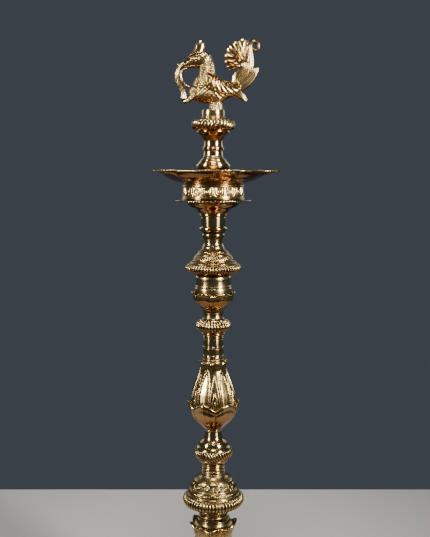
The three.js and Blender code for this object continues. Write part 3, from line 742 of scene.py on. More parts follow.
# %% Leaf bulb
bulb_seat = top_of("rope_knop")
BULB_TALL = top_of("leaf_bulb") - bulb_seat
bulb_side = curve(
    [(14.4, 3.6), (20.3, 9.8), (26.6, 15.6), (31.0, 22.4), (33.2, 31), (33.8, 40), (33.6, 49),
     (32, 58), (28.9, 67), (25.2, 76), (21.6, 84.6), (19.2, 92), (18.2, 98), (17.8, 102)],
    np.linspace(0, 1, 150))
bulb_line = np.vstack([
    outline((0, GAP), (12.2, GAP), (12.6, 1.6, 0.6), (14.2, 3.4, -0.3)),
    bulb_side,
    outline((16, 104), (15.2, 107, -0.3), (15.2, 108.6, 0.4), (14.8, 109.4, -0.2),
            (15, BULB_TALL), (0, BULB_TALL))])
BULB_LEAVES = 6
LEAF_FOOT = 32.0
LEAF_TOP = 96.0
ARCHES_ON_BULB = ((86.0, 8.6), (62.0, 5.6), (49.0, 2.6))  # apex height and half width in mm


def bulb_relief(angle, height, radius):
    """Six broad smooth leaves stand out, and pointed arches nest in each gap between them. A leaf
    is high where the distance past its edge, half width * (1 - rise ** 2.6), is below 0, and an arch
    is a ridge along half width * (1 - rise ** 1.7). Rise goes from 0 at the foot to 1 at the apex."""
    sector = FULL_TURN / BULB_LEAVES
    local = (angle - FRONT - sector * 0.06) % sector - sector / 2
    across = np.abs(local) * radius
    rise = np.clip((height - LEAF_FOOT) / (LEAF_TOP - LEAF_FOOT), 0, 1)
    edge = across - 9.6 * (1 - rise**2.6) * (0.82 + 0.5 * rise)
    leaf = 1 / (1 + np.exp(edge / 0.3))
    level = 1.5 * leaf - 0.4 * np.clip(-edge / 9, 0, 1) + ridge(edge + 0.9, 1.5, 0.5)
    level = level + groove(edge + 2.6, 1.2, 0.8) * leaf - 0.6
    between = (sector / 2 - np.abs(local)) * radius
    for apex, half in ARCHES_ON_BULB:
        climb = np.clip((height - LEAF_FOOT) / (apex - LEAF_FOOT), 0, 1.2)
        line = between - half * (1 - climb**1.7)
        level = np.maximum(level, (ridge(line, 2.2, 1.8) - 0.6) * (climb < 1.03))
    return level * window(height, LEAF_FOOT - 2, 98, 2.0)


build("leafed_bulb", [turn(bulb_line, bulb_seat, 432, bulb_relief)], CAST, "leaf_bulb")
bulb_petals = [
    whorl(6, [(12.4, 2), (20.2, 9.4), (27.4, 16.4), (32.6, 24.2), (35.2, 31), (36.4, 36.4)],
          [(12.4, 2), (21.2, 10), (30, 20), (35, 30), (36.6, 38.4), (38.4, 45.4)], bulb_seat,
          around=336, first=-0.1, thick=2.2, crease=0.8, point=1.7, veins=0.25, along=38),
    whorl(8, [(18, 92), (18.6, 96.5), (19, 100), (19.8, 102.6)],
          [(18, 92), (18.8, 98), (19.4, 103), (21, 106.8)], bulb_seat, around=240, first=0.2,
          thick=1.5, crease=0.8, point=1.6, veins=0.3, along=22),
]
build("bulb_petals", bulb_petals, CAST, "leaf_bulb")

# %% [markdown]
# ## Tube
# A nearly plain length with two narrow raised rings. A bare cylinder would look drawn by machine, so its
# side is very slightly crowned, and the rings have quirks that hold dark polish.

# %% Tube
tube_seat = top_of("leaf_bulb")
TUBE_TALL = top_of("stem_tube") - tube_seat
tube_line = outline(
    (0, GAP), (16.0, GAP), (16.2, 1.2, 0.3), (15.5, 2, -0.2), (15.5, 11.5, 0.05),
    (15, 12.1, -0.3), (14.9, 12.7), (15.7, 13.2), (15.7, 14.6, 0.4), (15.1, 15.2, -0.2),
    (14.9, 24.6, 0.05), (14.4, 25.4, -0.2), (14.8, 26.6, 0.2), (14.8, 28.2, 0.4),
    (14.4, TUBE_TALL), *blind_bore(TUBE_TALL, down=True))
build("stem_barrel", [turn(tube_line, tube_seat, 192)], TURNED, "stem_tube")

# %% [markdown]
# ## Ribbed collar
# A single row of upright ribs round a wide torus, between two coves. The ribs fade at their ends
# with the window, as they do where a cutter is lifted off.

# %% Ribbed collar
collar_seat = top_of("stem_tube")
COLLAR_TALL = top_of("gadroon_collar") - collar_seat
collar_line = outline(
    *blind_bore(GAP, down=False), (14.2, GAP), (15.2, 1.2, 0.5), (14.6, 2.2, -0.2),
    (16.6, 3.6, -0.2), (16.8, 6, 0.7), (17.4, 8, -0.5), (22.5, 11, -0.4), (23.6, 12.2, 0.3),
    (24.6, 20.8, 2.6), (20.8, 24.8, 1.1), (19.2, 26.6, 0.3), (16.4, 28, -0.5), (15.2, 31, -0.3),
    (14.8, 36, -0.3), (15.6, 40, -0.4), (19, COLLAR_TALL, -0.5), (0, COLLAR_TALL))
build("ribbed_collar", [turn(collar_line, collar_seat, 340, lambda a, z, r: ribs(
    a, z, 9.4, 25.2, 34, 1.9, soft=0.5))], TURNED, "gadroon_collar")

# %% [markdown]
# ## Upper lotus cup
# A smaller cup with six faintly veined petals and a plain wall. The wall is turned, and the petals
# are one ring of shells that starts on the wall's own foot.

# %% Upper lotus cup
small_seat = top_of("gadroon_collar")
SMALL_TALL = top_of("upper_lotus_cup") - small_seat
small_line = outline(
    (0, GAP), (18.4, GAP), (19.4, 1.4, 0.5), (20, 3, 0.2), (24.4, 8, 0.4), (26.4, 14, 0.5),
    (27.4, 22, 0.2), (27, 30.6, 0.8), (26.4, 31.3, -0.2), (26.9, 32, 0.2), (26.6, 33.6, 0.3),
    (26.2, 34.2, -0.2), (26.2, 43, -0.3), (25.8, 46.6, 0.2), (24, 48.8, 0.3),
    (23.4, SMALL_TALL), (0, SMALL_TALL))
small_petals = whorl(
    6, [(19.4, 2.4), (24.2, 7.4), (27.2, 12.4), (28.2, 16.4), (29, 19.4)],
    [(19.4, 2.4), (25, 8.2), (29, 14), (30, 19.4), (32.0, 24.4)], small_seat, around=360,
    first=0.0, thick=2.2, crease=0.9, point=1.6, veins=0.25, along=28)
build("upper_cup", [turn(small_line, small_seat, 240), small_petals], CAST,
      "upper_lotus_cup")

# %% [markdown]
# ## Upper bell
# It repeats the lower bell in a lighter form. Its rim flares and is ribbed all round, and the steps
# of its slope carry chisel cuts and a band of slanted ribs.

# %% Upper bell
upper_seat = top_of("upper_lotus_cup")
UPPER_TALL = top_of("upper_bell") - upper_seat
upper_line = outline(
    (0, GAP), (24, GAP), (24, 9), (32, 7), (34.6, 3.2, -0.4), (35.8, 2.4), (41.4, 8.4, 1.3),
    (40.4, 11.8, 0.8), (36.6, 15, 0.4), (35.6, 15.6), (35.2, 16.8, 0.6), (34.2, 17.6, -0.2),
    (30.8, 19.6, 0.3), (30.4, 20.8, 0.6), (29.2, 21.6, -0.2), (28, 24.6, 0.4), (25.8, 27.6, 0.3),
    (25.2, 29, 0.6), (24, 29.8, -0.2), (22, 32.6, -0.2), (21.8, 34, 0.6), (20, 35, -0.3),
    (17, UPPER_TALL, -0.4), (0, UPPER_TALL), step=0.95)


def upper_relief(angle, height, radius):
    """Upright ribs on the flared rim, a line of cuts, slanted ribs, then leaning cuts."""
    skirt = radius > 20
    return (ribs(angle, height, 3.0, 14.2, 56, 1.9, soft=0.4) * (radius > 34)
            + ticks(angle, height, 17.7, 19.4, 56, 0.45) * skirt
            + ribs(angle, height, 22.2, 27.2, 44, 0.7, slant=0.012, soft=0.3) * skirt
            + ticks(angle, height, 30.2, 32.4, 40, 0.4, lean=0.15) * skirt)


build("upper_bell_skirt", [turn(upper_line, upper_seat, 448, upper_relief)], CAST,
      "upper_bell")

# %% [markdown]
# ## Ringed neck
# The neck under the saucer is turned and polished only. Its beads are half ellipses between coves,
# and each is a stroke of its own, so that its highlight is a sharp dot.

# %% Ringed neck
neck_seat = top_of("upper_bell")
NECK_TALL = top_of("stem_neck") - neck_seat
neck_line = outline(
    (0, GAP), (16.8, GAP), (16.2, 2.4, -0.2), (14.1, 7, -0.4), (14.1, 12.4, -0.2),
    (15.4, 16.4, -0.4), (15.8, 17.2, -0.1), (15.9, 21.4, 0.9), (17.2, 24.8, -0.1),
    (18.6, 25.6, -0.1), (18.6, 31.6, 1.9), (17.8, 32.2, -0.1), (18.2, 45.6, 0.2),
    (17.8, 46.2, -0.2), (18.6, 47), (19.6, 48.4, 0.3), (19.4, NECK_TALL, 0.2),
    *blind_bore(NECK_TALL, down=True))
build("ringed_neck", [turn(neck_line, neck_seat, 192)], TURNED, "stem_neck")

# %% [markdown]
# ## Drip saucer
# A shallow saucer with a thin milled flange catches the oil that runs down. Its underside is a cove
# and a swell, left plain so that their long highlights aren't broken.

# %% Drip saucer
saucer_seat = top_of("stem_neck")
SAUCER_TALL = top_of("drip_saucer") - saucer_seat
SAUCER_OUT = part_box("drip_saucer")[1].x / MM
saucer_line = outline(
    *blind_bore(GAP, down=False), (20, GAP), (20.4, 1.4, 0.4), (21.6, 2.6, -0.3), (29.4, 9.6, -0.9),
    (38.2, 15.4, 1.3), (39.2, 16.6, 0.3),
    (SAUCER_OUT - 1.6, 18.9, -0.3), (SAUCER_OUT - 1.4, 21.6, 1.35), (SAUCER_OUT - 3, 21.4, -0.2),
    (47.5, 21.3), (47, SAUCER_TALL), (0, SAUCER_TALL))
build("saucer", [turn(saucer_line, saucer_seat, 360, lambda a, z, r: ribs(
    a, z, 18.6, 21.8, 72, 0.5, soft=0.3) * (r > SAUCER_OUT - 3))], TURNED,
    "drip_saucer")

# %% [markdown]
# ## Drum
# The drum carries the dish. Sixteen arches are chased round it, each an upright U with an eye in
# it. The height is the deepest of several grooves, each of them a dip over the distance to a curve:
# to the U, which is a half circle with two straight legs, and to the ring round the eye.

# %% Drum
drum_seat = top_of("drip_saucer")
DRUM_TALL = top_of("drum") - drum_seat
DRUM_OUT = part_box("drum")[1].x / MM
ARCHES = 16
drum_line = outline(
    (0, GAP), (12, GAP), (12, 15.8), (DRUM_OUT - 4, 15.8), (DRUM_OUT - 4, GAP), (DRUM_OUT, GAP),
    (DRUM_OUT + 0.1, 1.6, 0.5), (DRUM_OUT - 0.9, 2.4, -0.2), (DRUM_OUT - 1, 4, 0.1),
    (DRUM_OUT - 2.2, 16.4, 0.3), (DRUM_OUT - 2, 17.4, -0.3), (DRUM_OUT - 1.4, 19.6, 1.1),
    (DRUM_OUT - 2, 20.4, -0.2), (DRUM_OUT - 1, DRUM_TALL, 0.3), *blind_bore(DRUM_TALL, down=True))


def arches(angle, height, radius):
    """Upright Us with a ringed eye in each, as grooves over the distance to their lines."""
    local = (angle * ARCHES / FULL_TURN) % 1 - 0.5
    x = local * FULL_TURN / ARCHES * radius
    y = height - 10.4
    reach = np.where(y < 0, np.hypot(x, y), np.abs(x))
    eye = np.hypot(x, y - 0.6)
    lines = np.minimum.reduce([
        groove(reach - 6.4, 1.7, 1.3), groove(eye - 3.1, 1.4, 1.2), groove(eye, 1.7, 1.0)])
    swell = ridge(reach - 4.6, 1.6, 0.35) + ridge(reach - 8.2, 1.2, 0.3)
    wall = (radius > DRUM_OUT - 3.6) * window(height, 4.2, 16.4, 0.4)
    return (lines + swell) * wall


build("embossed_drum", [turn(drum_line, drum_seat, 512, arches)], CAST, "drum")

# %% [markdown]
# ## Dish
# The dish is one shallow bowl that runs out into five V spouts, where the wicks lie. Its surface is
# again a grid of rings and angles. Near each spout the rings are pulled outward, most at the
# spout's middle and nothing 15 degrees away, so that a channel runs up to the point. A row of
# small beads is struck along the rim.

# %% Dish
dish_seat = top_of("drum")
DISH_TALL = top_of("oil_dish") - dish_seat
SPOUTS = 5
SPOUT_TURN = math.radians(14)
BOWL = 76.0
TIP = 99.5
RINGS = [  # radius between spouts, share of the reach, height, half width in degrees, spout lift
    (BORE, 0, 0.05, 15, 0), (45, 0, 0.05, 15, 0), (46.5, 0, 1.2, 15, 0), (52, 0, 2.4, 15, 0),
    (58.5, 0.06, 4.6, 15, 0.6), (64, 0.14, 6.8, 15, 2.0), (69, 0.26, 9.4, 15, 3.4),
    (73, 0.5, 12.4, 15, 3.6), (75.2, 0.84, 15.4, 15, 1.6), (BOWL, 1, 17.6, 15, 0.2),
    (BOWL, 1, 19.3, 15, 0), (75.4, 0.98, 19.95, 15, 0), (74.6, 0.95, DISH_TALL, 14, 0),
    (72.8, 0.86, DISH_TALL - 0.1, 11, 0), (72, 0.8, DISH_TALL - 0.8, 10, 0),
    (69.6, 0.4, 13.6, 10, 2.0), (64, 0.16, 10.2, 10, 1.4), (56, 0, 6.8, 10, 0.2),
    (49, 0, 4.8, 10, 0), (45, 0, 3.9, 10, 0), (BORE, 0, 3.5, 10, 0)]
DISH_AROUND = 600
DISH_ROW_STEP = 1.5
SPOUT_BLUNT = 0.985  # the share of a spout's point that is left when it is rounded off


def dish_grid():
    """Each ring of RINGS is [radius, reach, height, half width, lift], and rows are put in
    between them. A point's radius is radius + reach * (tip - bowl) * share, where share is
    (1 - |off| / half) ^ 1.2 cut off at the blunt point. The spout's lift goes by share too."""
    rings = np.array(RINGS)
    step = np.hypot(np.diff(rings[:, 0]), np.diff(rings[:, 2]))
    counts = np.clip(np.ceil(step / DISH_ROW_STEP), 1, 6).astype(int)
    rows = [k + np.arange(count) / count for k, count in enumerate(counts)]
    rows = np.concatenate(rows + [[len(rings) - 1]])
    radius, reach, height, half, rise = (
        np.interp(rows, np.arange(len(rings)), rings[:, k])[:, None] for k in range(5))
    angle = np.arange(DISH_AROUND) * FULL_TURN / DISH_AROUND
    sector = FULL_TURN / SPOUTS
    off = (angle - FRONT - SPOUT_TURN + sector / 2) % sector - sector / 2
    share = np.maximum(0, 1 - np.abs(np.degrees(off))[None, :] / half) ** 1.2
    share = np.minimum(share, SPOUT_BLUNT)
    out = radius + reach * (TIP - BOWL) * share / SPOUT_BLUNT
    rim = np.exp(-(((height - 18.5) / 1.3) ** 2)) * (radius > 74)
    beads = 0.5 * (np.abs(np.cos(angle * 90)) - 0.5)[None, :] * rim
    ray = 0.35 * np.exp(-(((np.abs(np.degrees(off)) - 15) / 1.1) ** 2))[None, :]
    lift = ray * window(radius, 52, 72, 3) * (height > 3)
    grid = np.stack([(out + beads) * np.cos(angle), (out + beads) * np.sin(angle),
                     height + rise * share + beads * 0.6 + lift + dish_seat], axis=-1)
    return grid, True, 0.0


build("spouted_dish", [dish_grid()], CAST, "oil_dish")

# %% [markdown]
# ## Pedestal
# A bell foot stands in the dish and carries the collar and the bird. It is turned like the stem,
# from coves and half round rings that narrow towards its neck.

# %% Pedestal
pedestal_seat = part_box("pedestal_foot")[0].z / MM - GAP
PEDESTAL_TALL = top_of("pedestal_foot") - pedestal_seat
pedestal_line = outline(
    *blind_bore(GAP, down=False), (22, GAP), (23, 1.8, 0.6), (20.6, 3.4, -0.3), (20.2, 15, -0.8),
    (21.6, 17.6, -0.3), (23.4, 19.6, 0.2), (24.2, 21, 0.3), (24, 25.2, 0.8), (22.6, 26.2, -0.2),
    (21.4, 28, 0.3), (19.2, 29.8, 0.3), (18.7, 31.6, 0.5), (18, 32.4, -0.2), (15.6, 35.2, -0.5),
    (14.2, 38, -0.3), (13.5, 43, -0.1), (14, 45.2, -0.2), (15.2, 46, -0.1),
    (15.4, PEDESTAL_TALL, 0.5), (0, PEDESTAL_TALL))
build("pedestal_bell", [turn(pedestal_line, pedestal_seat, 192)], TURNED,
      "pedestal_foot")

# %% [markdown]
# ## Beaded collar
# A fat ring of slanting gadroons that look like beads from the side. It leans the other way from
# the rope knop, so the sign of the slant is turned.

# %% Beaded collar
beaded_seat = top_of("pedestal_foot")
BEADED_TALL = top_of("beaded_collar") - beaded_seat
beaded_line = outline(
    (0, GAP), (15.4, GAP), (15.4, 1.8, 0.7), (14.2, 2.8, -0.2), (13.4, 6, -0.1), (13.2, 11, -0.2),
    (14.8, 14, -0.3), (16.2, 16.4, -0.2), (18, 19, -0.3), (21.2, 21.6, -0.3), (22, 22.6, 0.1),
    (23.2, 23.2), (23.2, 25.4, 0.7), (22.6, 26, -0.1), (27, 27.4, -0.3), (28.4, 41, 4.3),
    (24, 42.4, 0.3), (20.6, 42.8, -0.2), (19, BEADED_TALL), *blind_bore(BEADED_TALL, down=True))
build("beaded_ring", [turn(beaded_line, beaded_seat, 340, lambda a, z, r: ribs(
    a, z, 27.4, 41.2, 34, 1.8, slant=-0.013, soft=0.5))], TURNED, "beaded_collar")

# %% [markdown]
# ## Peacock
# The finial is a founder's bird, cast whole and then chased: a crested peacock that holds a
# garland in its beak, with a standing tail. A bar whose section changes along a curve gives the
# neck, the body, each feather and the scrolls. The plumage is relief again: scales on the chest,
# and slanted ribs on the wings and feathers. The one casting is made as three pieces here, so that
# no mesh grows too heavy to export: the body with its head and wings, the tail, and the garland.
# The curves lie in the bird's own upright plane, and heights are from its foot.


# %% Bars along a curve
def bar(spine, half, deep, side=0.0, relief=None, along=56, across=32, blunt=(0.1, 0.1)):
    """A closed bar. Its section at each place is an ellipse, `half` wide in the bird's plane and
    `deep` thick across it, and both shrink as a quarter circle over the blunt share of each end.
    relief(place, turn, half) is added along the section's own outward direction."""
    share = (1 - np.cos(np.linspace(0, math.pi, along))) / 2
    line = curve(spine, share)
    slope = np.gradient(line, share, axis=0)
    normal = np.stack([slope[:, 1], -slope[:, 0]], axis=-1)
    normal /= np.maximum(np.linalg.norm(normal, axis=-1, keepdims=True), 1e-9)
    first = np.clip(1 - share / max(blunt[0], 1e-6), 0, 1)
    last = np.clip(1 - (1 - share) / max(blunt[1], 1e-6), 0, 1)
    cap = np.sqrt(np.maximum(1 - first**2, 1e-4)) * np.sqrt(np.maximum(1 - last**2, 1e-4))
    half = np.maximum(curve(half, share), 0.15) * cap
    deep = np.maximum(curve(deep, share), 0.15) * cap
    round_turn = np.arange(across) * FULL_TURN / across
    lift = np.zeros((along, across))
    if relief:
        lift = relief(share[:, None], round_turn[None, :], half[:, None]) * cap[:, None]
    wide = (half[:, None] + lift) * np.cos(round_turn)
    thick = (deep[:, None] + lift) * np.sin(round_turn)
    x = line[:, :1] + wide * normal[:, :1]
    z = line[:, 1:] + wide * normal[:, 1:]
    xyz = np.stack([x, side + thick, z + finial_seat], axis=-1)
    return xyz, False, sunk_of(lift)


def ribbed(number, depth, slant=0.0):
    """Feather barbs: sharp-valleyed ribs along the bar, leaning by `slant` across its width."""
    return lambda place, around, half: depth * (
        np.abs(np.cos(math.pi * number * (place + slant * np.cos(around)))) - 1)


def fluted(number, depth):
    """Grooves that run along the bar, side by side across its width."""
    return lambda place, around, half: depth * (
        np.abs(np.cos(math.pi / 2 * number * np.cos(around))) - 1)


def scaly(rows, columns, depth):
    """Overlapping round scales in staggered rows, each rising to its free lower edge."""
    def relief(place, around, half):
        best = 0
        for shift in (0.0, 0.5):
            x = (around / FULL_TURN * columns + shift) % 1 - 0.5
            y = (place * rows + shift) % 1 - 0.5
            reach = np.hypot(x, y)
            best = np.maximum(best, np.clip(1 - (reach / 0.46) ** 2, 0, 1) ** 0.8 * (0.8 - 0.6 * y))
        return depth * (best - 0.5)
    return relief


# %% [markdown]
# ## Foot, body and neck
# The bird stands on a turned disc. Its leg, trunk and neck are three scaly bars that run into each
# other, as lumps of wax are pressed together for a mould. The joins are hidden among the scales.

# %% Bird's foot, body and neck
finial_seat = top_of("beaded_collar")
foot_ring_line = outline(
    *blind_bore(GAP, down=False), (18, GAP), (18.2, 0.8, 0.2), (16.2, 1.8, -0.3), (16, 2.8),
    (16.2, 10.6, 0.3), (14.8, 12.2, 0.4), (6, 12.8, -0.2), (5, 20), (0, 26))
bird = [
    turn(foot_ring_line, finial_seat, 128),
    bar([(5, 11), (4.4, 16), (4, 22), (4, 30), (2, 36)], [9.4, 9.2, 9.8, 14.5, 14],
        [8, 8, 8.6, 11, 11], relief=scaly(6, 11, 1.7), along=64, across=72, blunt=(0.02, 0.1)),
    bar([(-35, 38.5), (-20, 36.5), (0, 36), (18, 38.5), (38, 44)], [8, 12.6, 14.2, 10.5, 6],
        [7, 11, 12.5, 9.5, 4.5], relief=scaly(14, 15, 2.0), along=150, across=96,
        blunt=(0.2, 0.1)),
    bar([(-18, 38), (-14, 47), (-9.5, 57), (-8.6, 66), (-9.2, 75), (-13, 84)],
        [15, 14.8, 13, 11, 10.4, 9], [9, 11, 10, 8.6, 8.2, 7], relief=scaly(13, 13, 1.9),
        along=140, across=88),
]

# %% [markdown]
# ## Head, beak and crest
# A tapering bar is the skull and beak. Two more are the beak's halves, and a ribbed one goes over
# the brow. The crest is one rounded lobe. The eye is a ring with a bead in it, on both sides.

# %% Head, beak and crest
EYE = (-24.5, 84.5)
EYE_OUT = 7.2
bird += [
    bar([(-3, 80), (-12, 83.6), (-22, 83.4), (-31, 81), (-39, 77.6), (-48.6, 73.6)],
        [8, 11.4, 11.2, 8, 4.6, 1.2], [6.4, 8, 7.6, 5.8, 3.8, 1.2], relief=scaly(9, 12, 0.9),
        along=110, across=72, blunt=(0.2, 0.06)),
    bar([(-31, 85.4), (-37, 83.2), (-43.4, 78.8), (-48.4, 74.6)], [3.0, 3.2, 2.6, 0.8],
        [6.0, 5.2, 4, 1.4], relief=fluted(3, 0.4), blunt=(0.1, 0.05)),
    bar([(-14, 75.4), (-23, 74.2), (-33, 74.4), (-43, 73.2)], [2.4, 2.6, 2.2, 1.2],
        [6, 5.4, 4.4, 2.4], relief=ribbed(12, 0.4)),
    bar([(-24.5, 87), (-21.6, 95), (-19.2, 103), (-17.8, 112)], [9.6, 8.0, 7.6, 7.8],
        [5.6, 4.4, 4, 3.4], relief=fluted(1, 0.7), along=44, across=40, blunt=(0.05, 0.36)),
    bar([(-36.5, 85.6), (-31, 90.4), (-22, 92.8), (-12, 92), (-3.4, 86)],
        [1.6, 2, 2.2, 2.2, 1.6], [5.6, 6.8, 7.2, 6.8, 5.4], relief=ribbed(13, 0.7)),
]
circle = np.linspace(0, FULL_TURN, 40, endpoint=False)
tube = np.linspace(0, FULL_TURN, 16, endpoint=False)[:, None]
polar = np.linspace(0.04, math.pi - 0.04, 20)[:, None]


def around_eye(out, depth, side, loop):
    """Circles of the radii `out` about the eye, at the depths out of the head."""
    depth = depth + np.zeros_like(out * circle)
    return np.stack([EYE[0] + out * np.cos(circle), side * (EYE_OUT + depth),
                     finial_seat + EYE[1] + out * np.sin(circle)], axis=-1), loop, 0.0


for side in (-1, 1):
    bird.append(around_eye(3.8 + 0.9 * np.cos(tube), 0.5 + 0.9 * np.sin(tube), side, True))
    bird.append(around_eye(2.1 * np.sin(polar), 0.2 + 2.1 * np.cos(polar), side, False))

# %% [markdown]
# ## Wings
# Each wing lies flat on the trunk: a bar of slanting quills, framed by three thin ones. It is the
# same on both sides, so a loop sets it out to the left and the right.

# %% Wings
WING_OUT = 10.0
for side in (-1, 1):
    bird += [
        bar([(-6, 60), (0, 50.5), (12, 44.6), (27, 42.2), (41, 44)], [3, 9.8, 8.8, 7.4, 3.4],
            [3.4, 4.6, 4.4, 3.8, 2], side=side * WING_OUT, relief=ribbed(8, 2.1, -0.12),
            along=150, across=56, blunt=(0.12, 0.06)),
        bar([(-8, 66), (1.5, 59.5), (13, 52.4), (27, 49.6), (40, 49)], [1.6, 1.8, 1.8, 1.6, 1.0],
            [3, 5.2, 5, 4.2, 2], side=side * (WING_OUT + 0.6)),
        bar([(-9, 63), (-10, 53), (-6, 44), (2, 38.4), (14, 35.4), (34, 36.4)],
            [1.3, 1.8, 2, 2, 1.8, 0.8], [2.6, 4.6, 5, 4.8, 3.8, 1.4],
            side=side * (WING_OUT + 0.4), relief=ribbed(22, 0.5)),
        bar([(-4, 61), (-5, 52), (0, 44.6), (9, 40.6)], [1.0, 1.2, 1.2, 0.6],
            [4.8, 5.8, 5.6, 4], side=side * WING_OUT),
    ]
build("peacock", bird, CAST, "bird_finial")

# %% [markdown]
# ## Tail
# The standing tail is a fan with plumes at its root and a scroll behind it. The fan is one bar bent
# round in an arc, whose ribs are its feathers, and a thin quill is laid in most of them.

# %% Tail
PLUME = (43.0, 74.0)  # the middle that the fan of feathers spreads from
FAN = [  # direction in degrees and reach in mm of the feathers' tips
    (194, 21.5), (176, 23.5), (157, 27.5), (140, 31.5), (123, 35.5), (106, 37.5), (90, 39.5),
    (76, 39.5)]
FAN_ROOT = 6.0
ways = np.radians([degrees for degrees, reach in FAN])
reaches = np.array([reach for degrees, reach in FAN])
middles = (reaches + FAN_ROOT) / 2
fan_spine = np.stack([PLUME[0] + middles * np.cos(ways), PLUME[1] + middles * np.sin(ways)], axis=-1)
tail = [
    bar(fan_spine, (reaches - FAN_ROOT) / 2 + 0.6, [3.4, 4.2, 4.6, 4.8, 4.8, 4.6, 4.4, 3.6],
        relief=ribbed(7, 2.4), along=240, across=72, blunt=(0.04, 0.04)),
    bar([(32, 42.5), (43, 48), (52, 57.5), (60, 66.6), (67.2, 72.6)], [6.4, 8.6, 8.4, 5.6, 0.5],
        [6, 5.2, 4.8, 4, 1], relief=fluted(5, 0.9), along=90, across=64, blunt=(0.1, 0.02)),
    bar([(50, 62), (54, 74), (54, 87), (52.6, 97), (53.4, 104.2), (58, 108.8), (63.6, 107),
         (65.4, 101.4), (62, 96.8), (57.8, 98.2), (57, 102.4)],
        [4.4, 5.4, 5, 4.4, 3.6, 3, 2.7, 2.5, 2.3, 2, 1.4],
        [4.6, 4.4, 4.2, 4, 3.8, 3.6, 3.6, 3.6, 3.4, 3.4, 3.2], relief=fluted(3, 0.8), along=150,
        across=40, blunt=(0.05, 0.06)),
    bar([(31, 45), (36, 54), (42.6, 64), (47, 73), (45, 81), (38.4, 83.6), (33, 80),
         (33.4, 75)], [7.4, 8.6, 8.4, 6.8, 5, 3.8, 3.2, 2.2], [5, 5.8, 6, 6.2, 6, 5.6, 5.4, 5],
        relief=fluted(6, 1.3), along=150, across=88, blunt=(0.05, 0.06)),
    bar([(28, 47), (30, 54), (30.6, 61), (32.6, 67)], [3.4, 3.4, 3, 1.6], [5, 5.6, 5.4, 4.2],
        relief=fluted(3, 0.6)),
    bar([(37.6, 72), (36.6, 74.4), (37.4, 77)], [3.6, 3.8, 3], [6.6, 7, 6.4], blunt=(0.3, 0.3)),
    bar([(26, 39), (36, 35), (43, 30.4), (49.4, 24.6)], [5.4, 6.6, 4.8, 0.9], [5.6, 5, 4, 1.6],
        relief=fluted(5, 0.9), along=72, across=56, blunt=(0.1, 0.03)),
]
for degrees, reach in FAN[1:-1]:
    lean = math.radians(degrees - 4)
    way = np.array([math.cos(lean), math.sin(lean)])
    root, tip = np.array(PLUME) + FAN_ROOT * way, np.array(PLUME) + (reach - 4) * way
    bow = np.array([way[1], -way[0]]) * 1.6
    tail.append(bar([root, (root + tip) / 2 + bow, tip], [0.7, 1.0, 0.4], [5, 5.4, 2.6], along=36,
                    across=16))
build("peacock_tail", tail, CAST, "bird_finial")

# %% [markdown]
# ## Garland
# A garland hangs from the beak and comes back to the chest. Each stretch is a bar that follows its
# fall, with flutes for the leaves and short ribs for the beads.

# %% Garland
garland = [
    bar([(-47.6, 77.4), (-51.4, 69), (-53.2, 60), (-54.6, 50)], [2.2, 3.2, 3.2, 1.0],
        [3, 3.8, 3.6, 1.6], relief=fluted(3, 0.6), blunt=(0.1, 0.05)),
    bar([(-46.6, 79), (-49.2, 76.6), (-52, 78)], [1.8, 1.8, 0.8], [2.4, 2.4, 1.4]),
    bar([(-52, 57), (-50.4, 50.6), (-46.4, 43.4), (-43.4, 36), (-43, 29), (-45.4, 25.4)],
        [1.6, 3, 3.8, 4.4, 5.2, 5.4], [2.4, 3.4, 3.8, 4.4, 5, 5], relief=fluted(3, 0.8),
        along=90, across=48, blunt=(0.08, 0.2)),
    bar([(-44, 24.6), (-39, 24.8), (-34, 28), (-30, 32)], [3.4, 3.4, 3.8, 4.4], [4, 4, 4.2, 4],
        relief=ribbed(6, 0.6)),
    bar([(-38, 72), (-44.6, 68.6), (-47.2, 62.4), (-45.8, 54.6), (-41.4, 48.4), (-34, 44)],
        [1.8, 2.1, 2.1, 2.1, 2.3, 2.6], [2.4, 2.8, 2.8, 2.8, 3, 3.4], relief=ribbed(16, 0.5)),
]
build("peacock_garland", garland, CAST, "bird_finial")

# %% [markdown]
# ## Floor and light
# A polished metal shows its surroundings, so the lights are the paint. Two narrow bright boxes at
# the sides of the camera draw the pair of upright white lines down every turned piece, and a wide
# dim one behind each of them softens its edge. A box overhead lights the rims and the floor, and
# two dim ones at the back do for the far side. The room is kept dim, cool above and brown below, so
# the gaps between the lines go dark olive and the form reads. The pale floor ends close in front of
# the foot, so that the undersides can mirror the brown beyond it.

# %% Floor
FLOOR_SIDE = 0.62
FLOOR_NEAR = -0.26
FLOOR_FAR = 0.6
floor_mesh = bpy.data.meshes.new("floor")
floor_mesh.from_pydata(
    [(-FLOOR_SIDE, FLOOR_NEAR, 0), (FLOOR_SIDE, FLOOR_NEAR, 0), (FLOOR_SIDE, FLOOR_FAR, 0),
     (-FLOOR_SIDE, FLOOR_FAR, 0)], [], [(0, 1, 2, 3)])
FLOOR = bpy.data.materials.new("floor_pale_plaster")
FLOOR.use_nodes = True
floor_shader = FLOOR.node_tree.nodes["Principled BSDF"]
floor_shader.inputs["Base Color"].default_value = linear("#d9d6d0")
floor_shader.inputs["Roughness"].default_value = 0.75
floor_mesh.materials.append(FLOOR)
floor = bpy.data.objects.new("floor", floor_mesh)
bpy.context.scene.collection.objects.link(floor)

# %% [markdown]
# ## Boxes
# Each box is an area light that is aimed at one height on the stem. The sizes set how wide a
# highlight is, and the angle sets where it falls on a round piece: at half that angle.

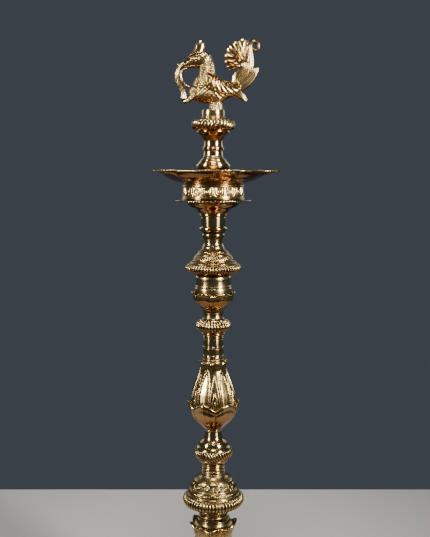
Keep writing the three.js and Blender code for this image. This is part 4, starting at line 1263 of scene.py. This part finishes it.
# %% Lights
AIM = 0.82  # the height in metres that the lights point at, above the middle to spare the floor
ROOM_STRENGTH = 0.15
SPREAD = 62  # degrees: the grids on the boxes keep light off the floor near the foot


def soft_box(name, angle, distance, height, size, watts, colour):
    """An area light at an angle from the camera's side, turned to the stem's middle."""
    turn_to = FRONT + math.radians(angle)
    place = Vector((distance * math.cos(turn_to), distance * math.sin(turn_to), height))
    data = bpy.data.lights.new(name, "AREA")
    data.shape = "RECTANGLE"
    data.size, data.size_y = size
    data.energy = watts
    data.color = linear(colour)[:3]
    data.spread = math.radians(SPREAD)
    light = bpy.data.objects.new(name, data)
    light.location = place
    light.rotation_euler = (Vector((0, 0, AIM)) - place).to_track_quat("-Z", "Y").to_euler()
    bpy.context.scene.collection.objects.link(light)


soft_box("left_box", -60, 1.6, 1.2, (0.2, 0.75), 5, "#fffbf6")
soft_box("right_box", 48, 1.6, 1.2, (0.38, 0.75), 9, "#fffbf6")
soft_box("left_fill", -57, 1.7, 0.8, (0.3, 1.2), 0.7, "#fffbf6")
soft_box("right_fill", 47, 1.7, 0.8, (0.6, 1.2), 1.4, "#fffbf6")
soft_box("top_box", 0, 0.7, 2.1, (0.5, 0.5), 2.4, "#fffaf4")
soft_box("back_left_box", -145, 1.8, 1.2, (1.2, 1.2), 0.8, "#eef3ff")
soft_box("back_right_box", 145, 1.8, 1.2, (1.2, 1.2), 0.8, "#eef3ff")
world = bpy.data.worlds.new("dim_room")
bpy.context.scene.world = world
world.use_nodes = True
room = world.node_tree
toward = add(room, "ShaderNodeSeparateXYZ",
             {"Vector": add(room, "ShaderNodeTexCoord").outputs["Generated"]})
rise = add(room, "ShaderNodeMapRange",
           {"Value": toward.outputs["Z"], "From Min": -0.7, "From Max": -0.42})
shade = add(room, "ShaderNodeMix",
            {0: rise.outputs["Result"], 6: linear("#7a6250"), 7: linear("#9ba8b9")},
            data_type="RGBA")
background = room.nodes["Background"]
room.links.new(shade.outputs[2], background.inputs["Color"])
background.inputs["Strength"].default_value = ROOM_STRENGTH
print("lights:", len(bpy.data.lights))
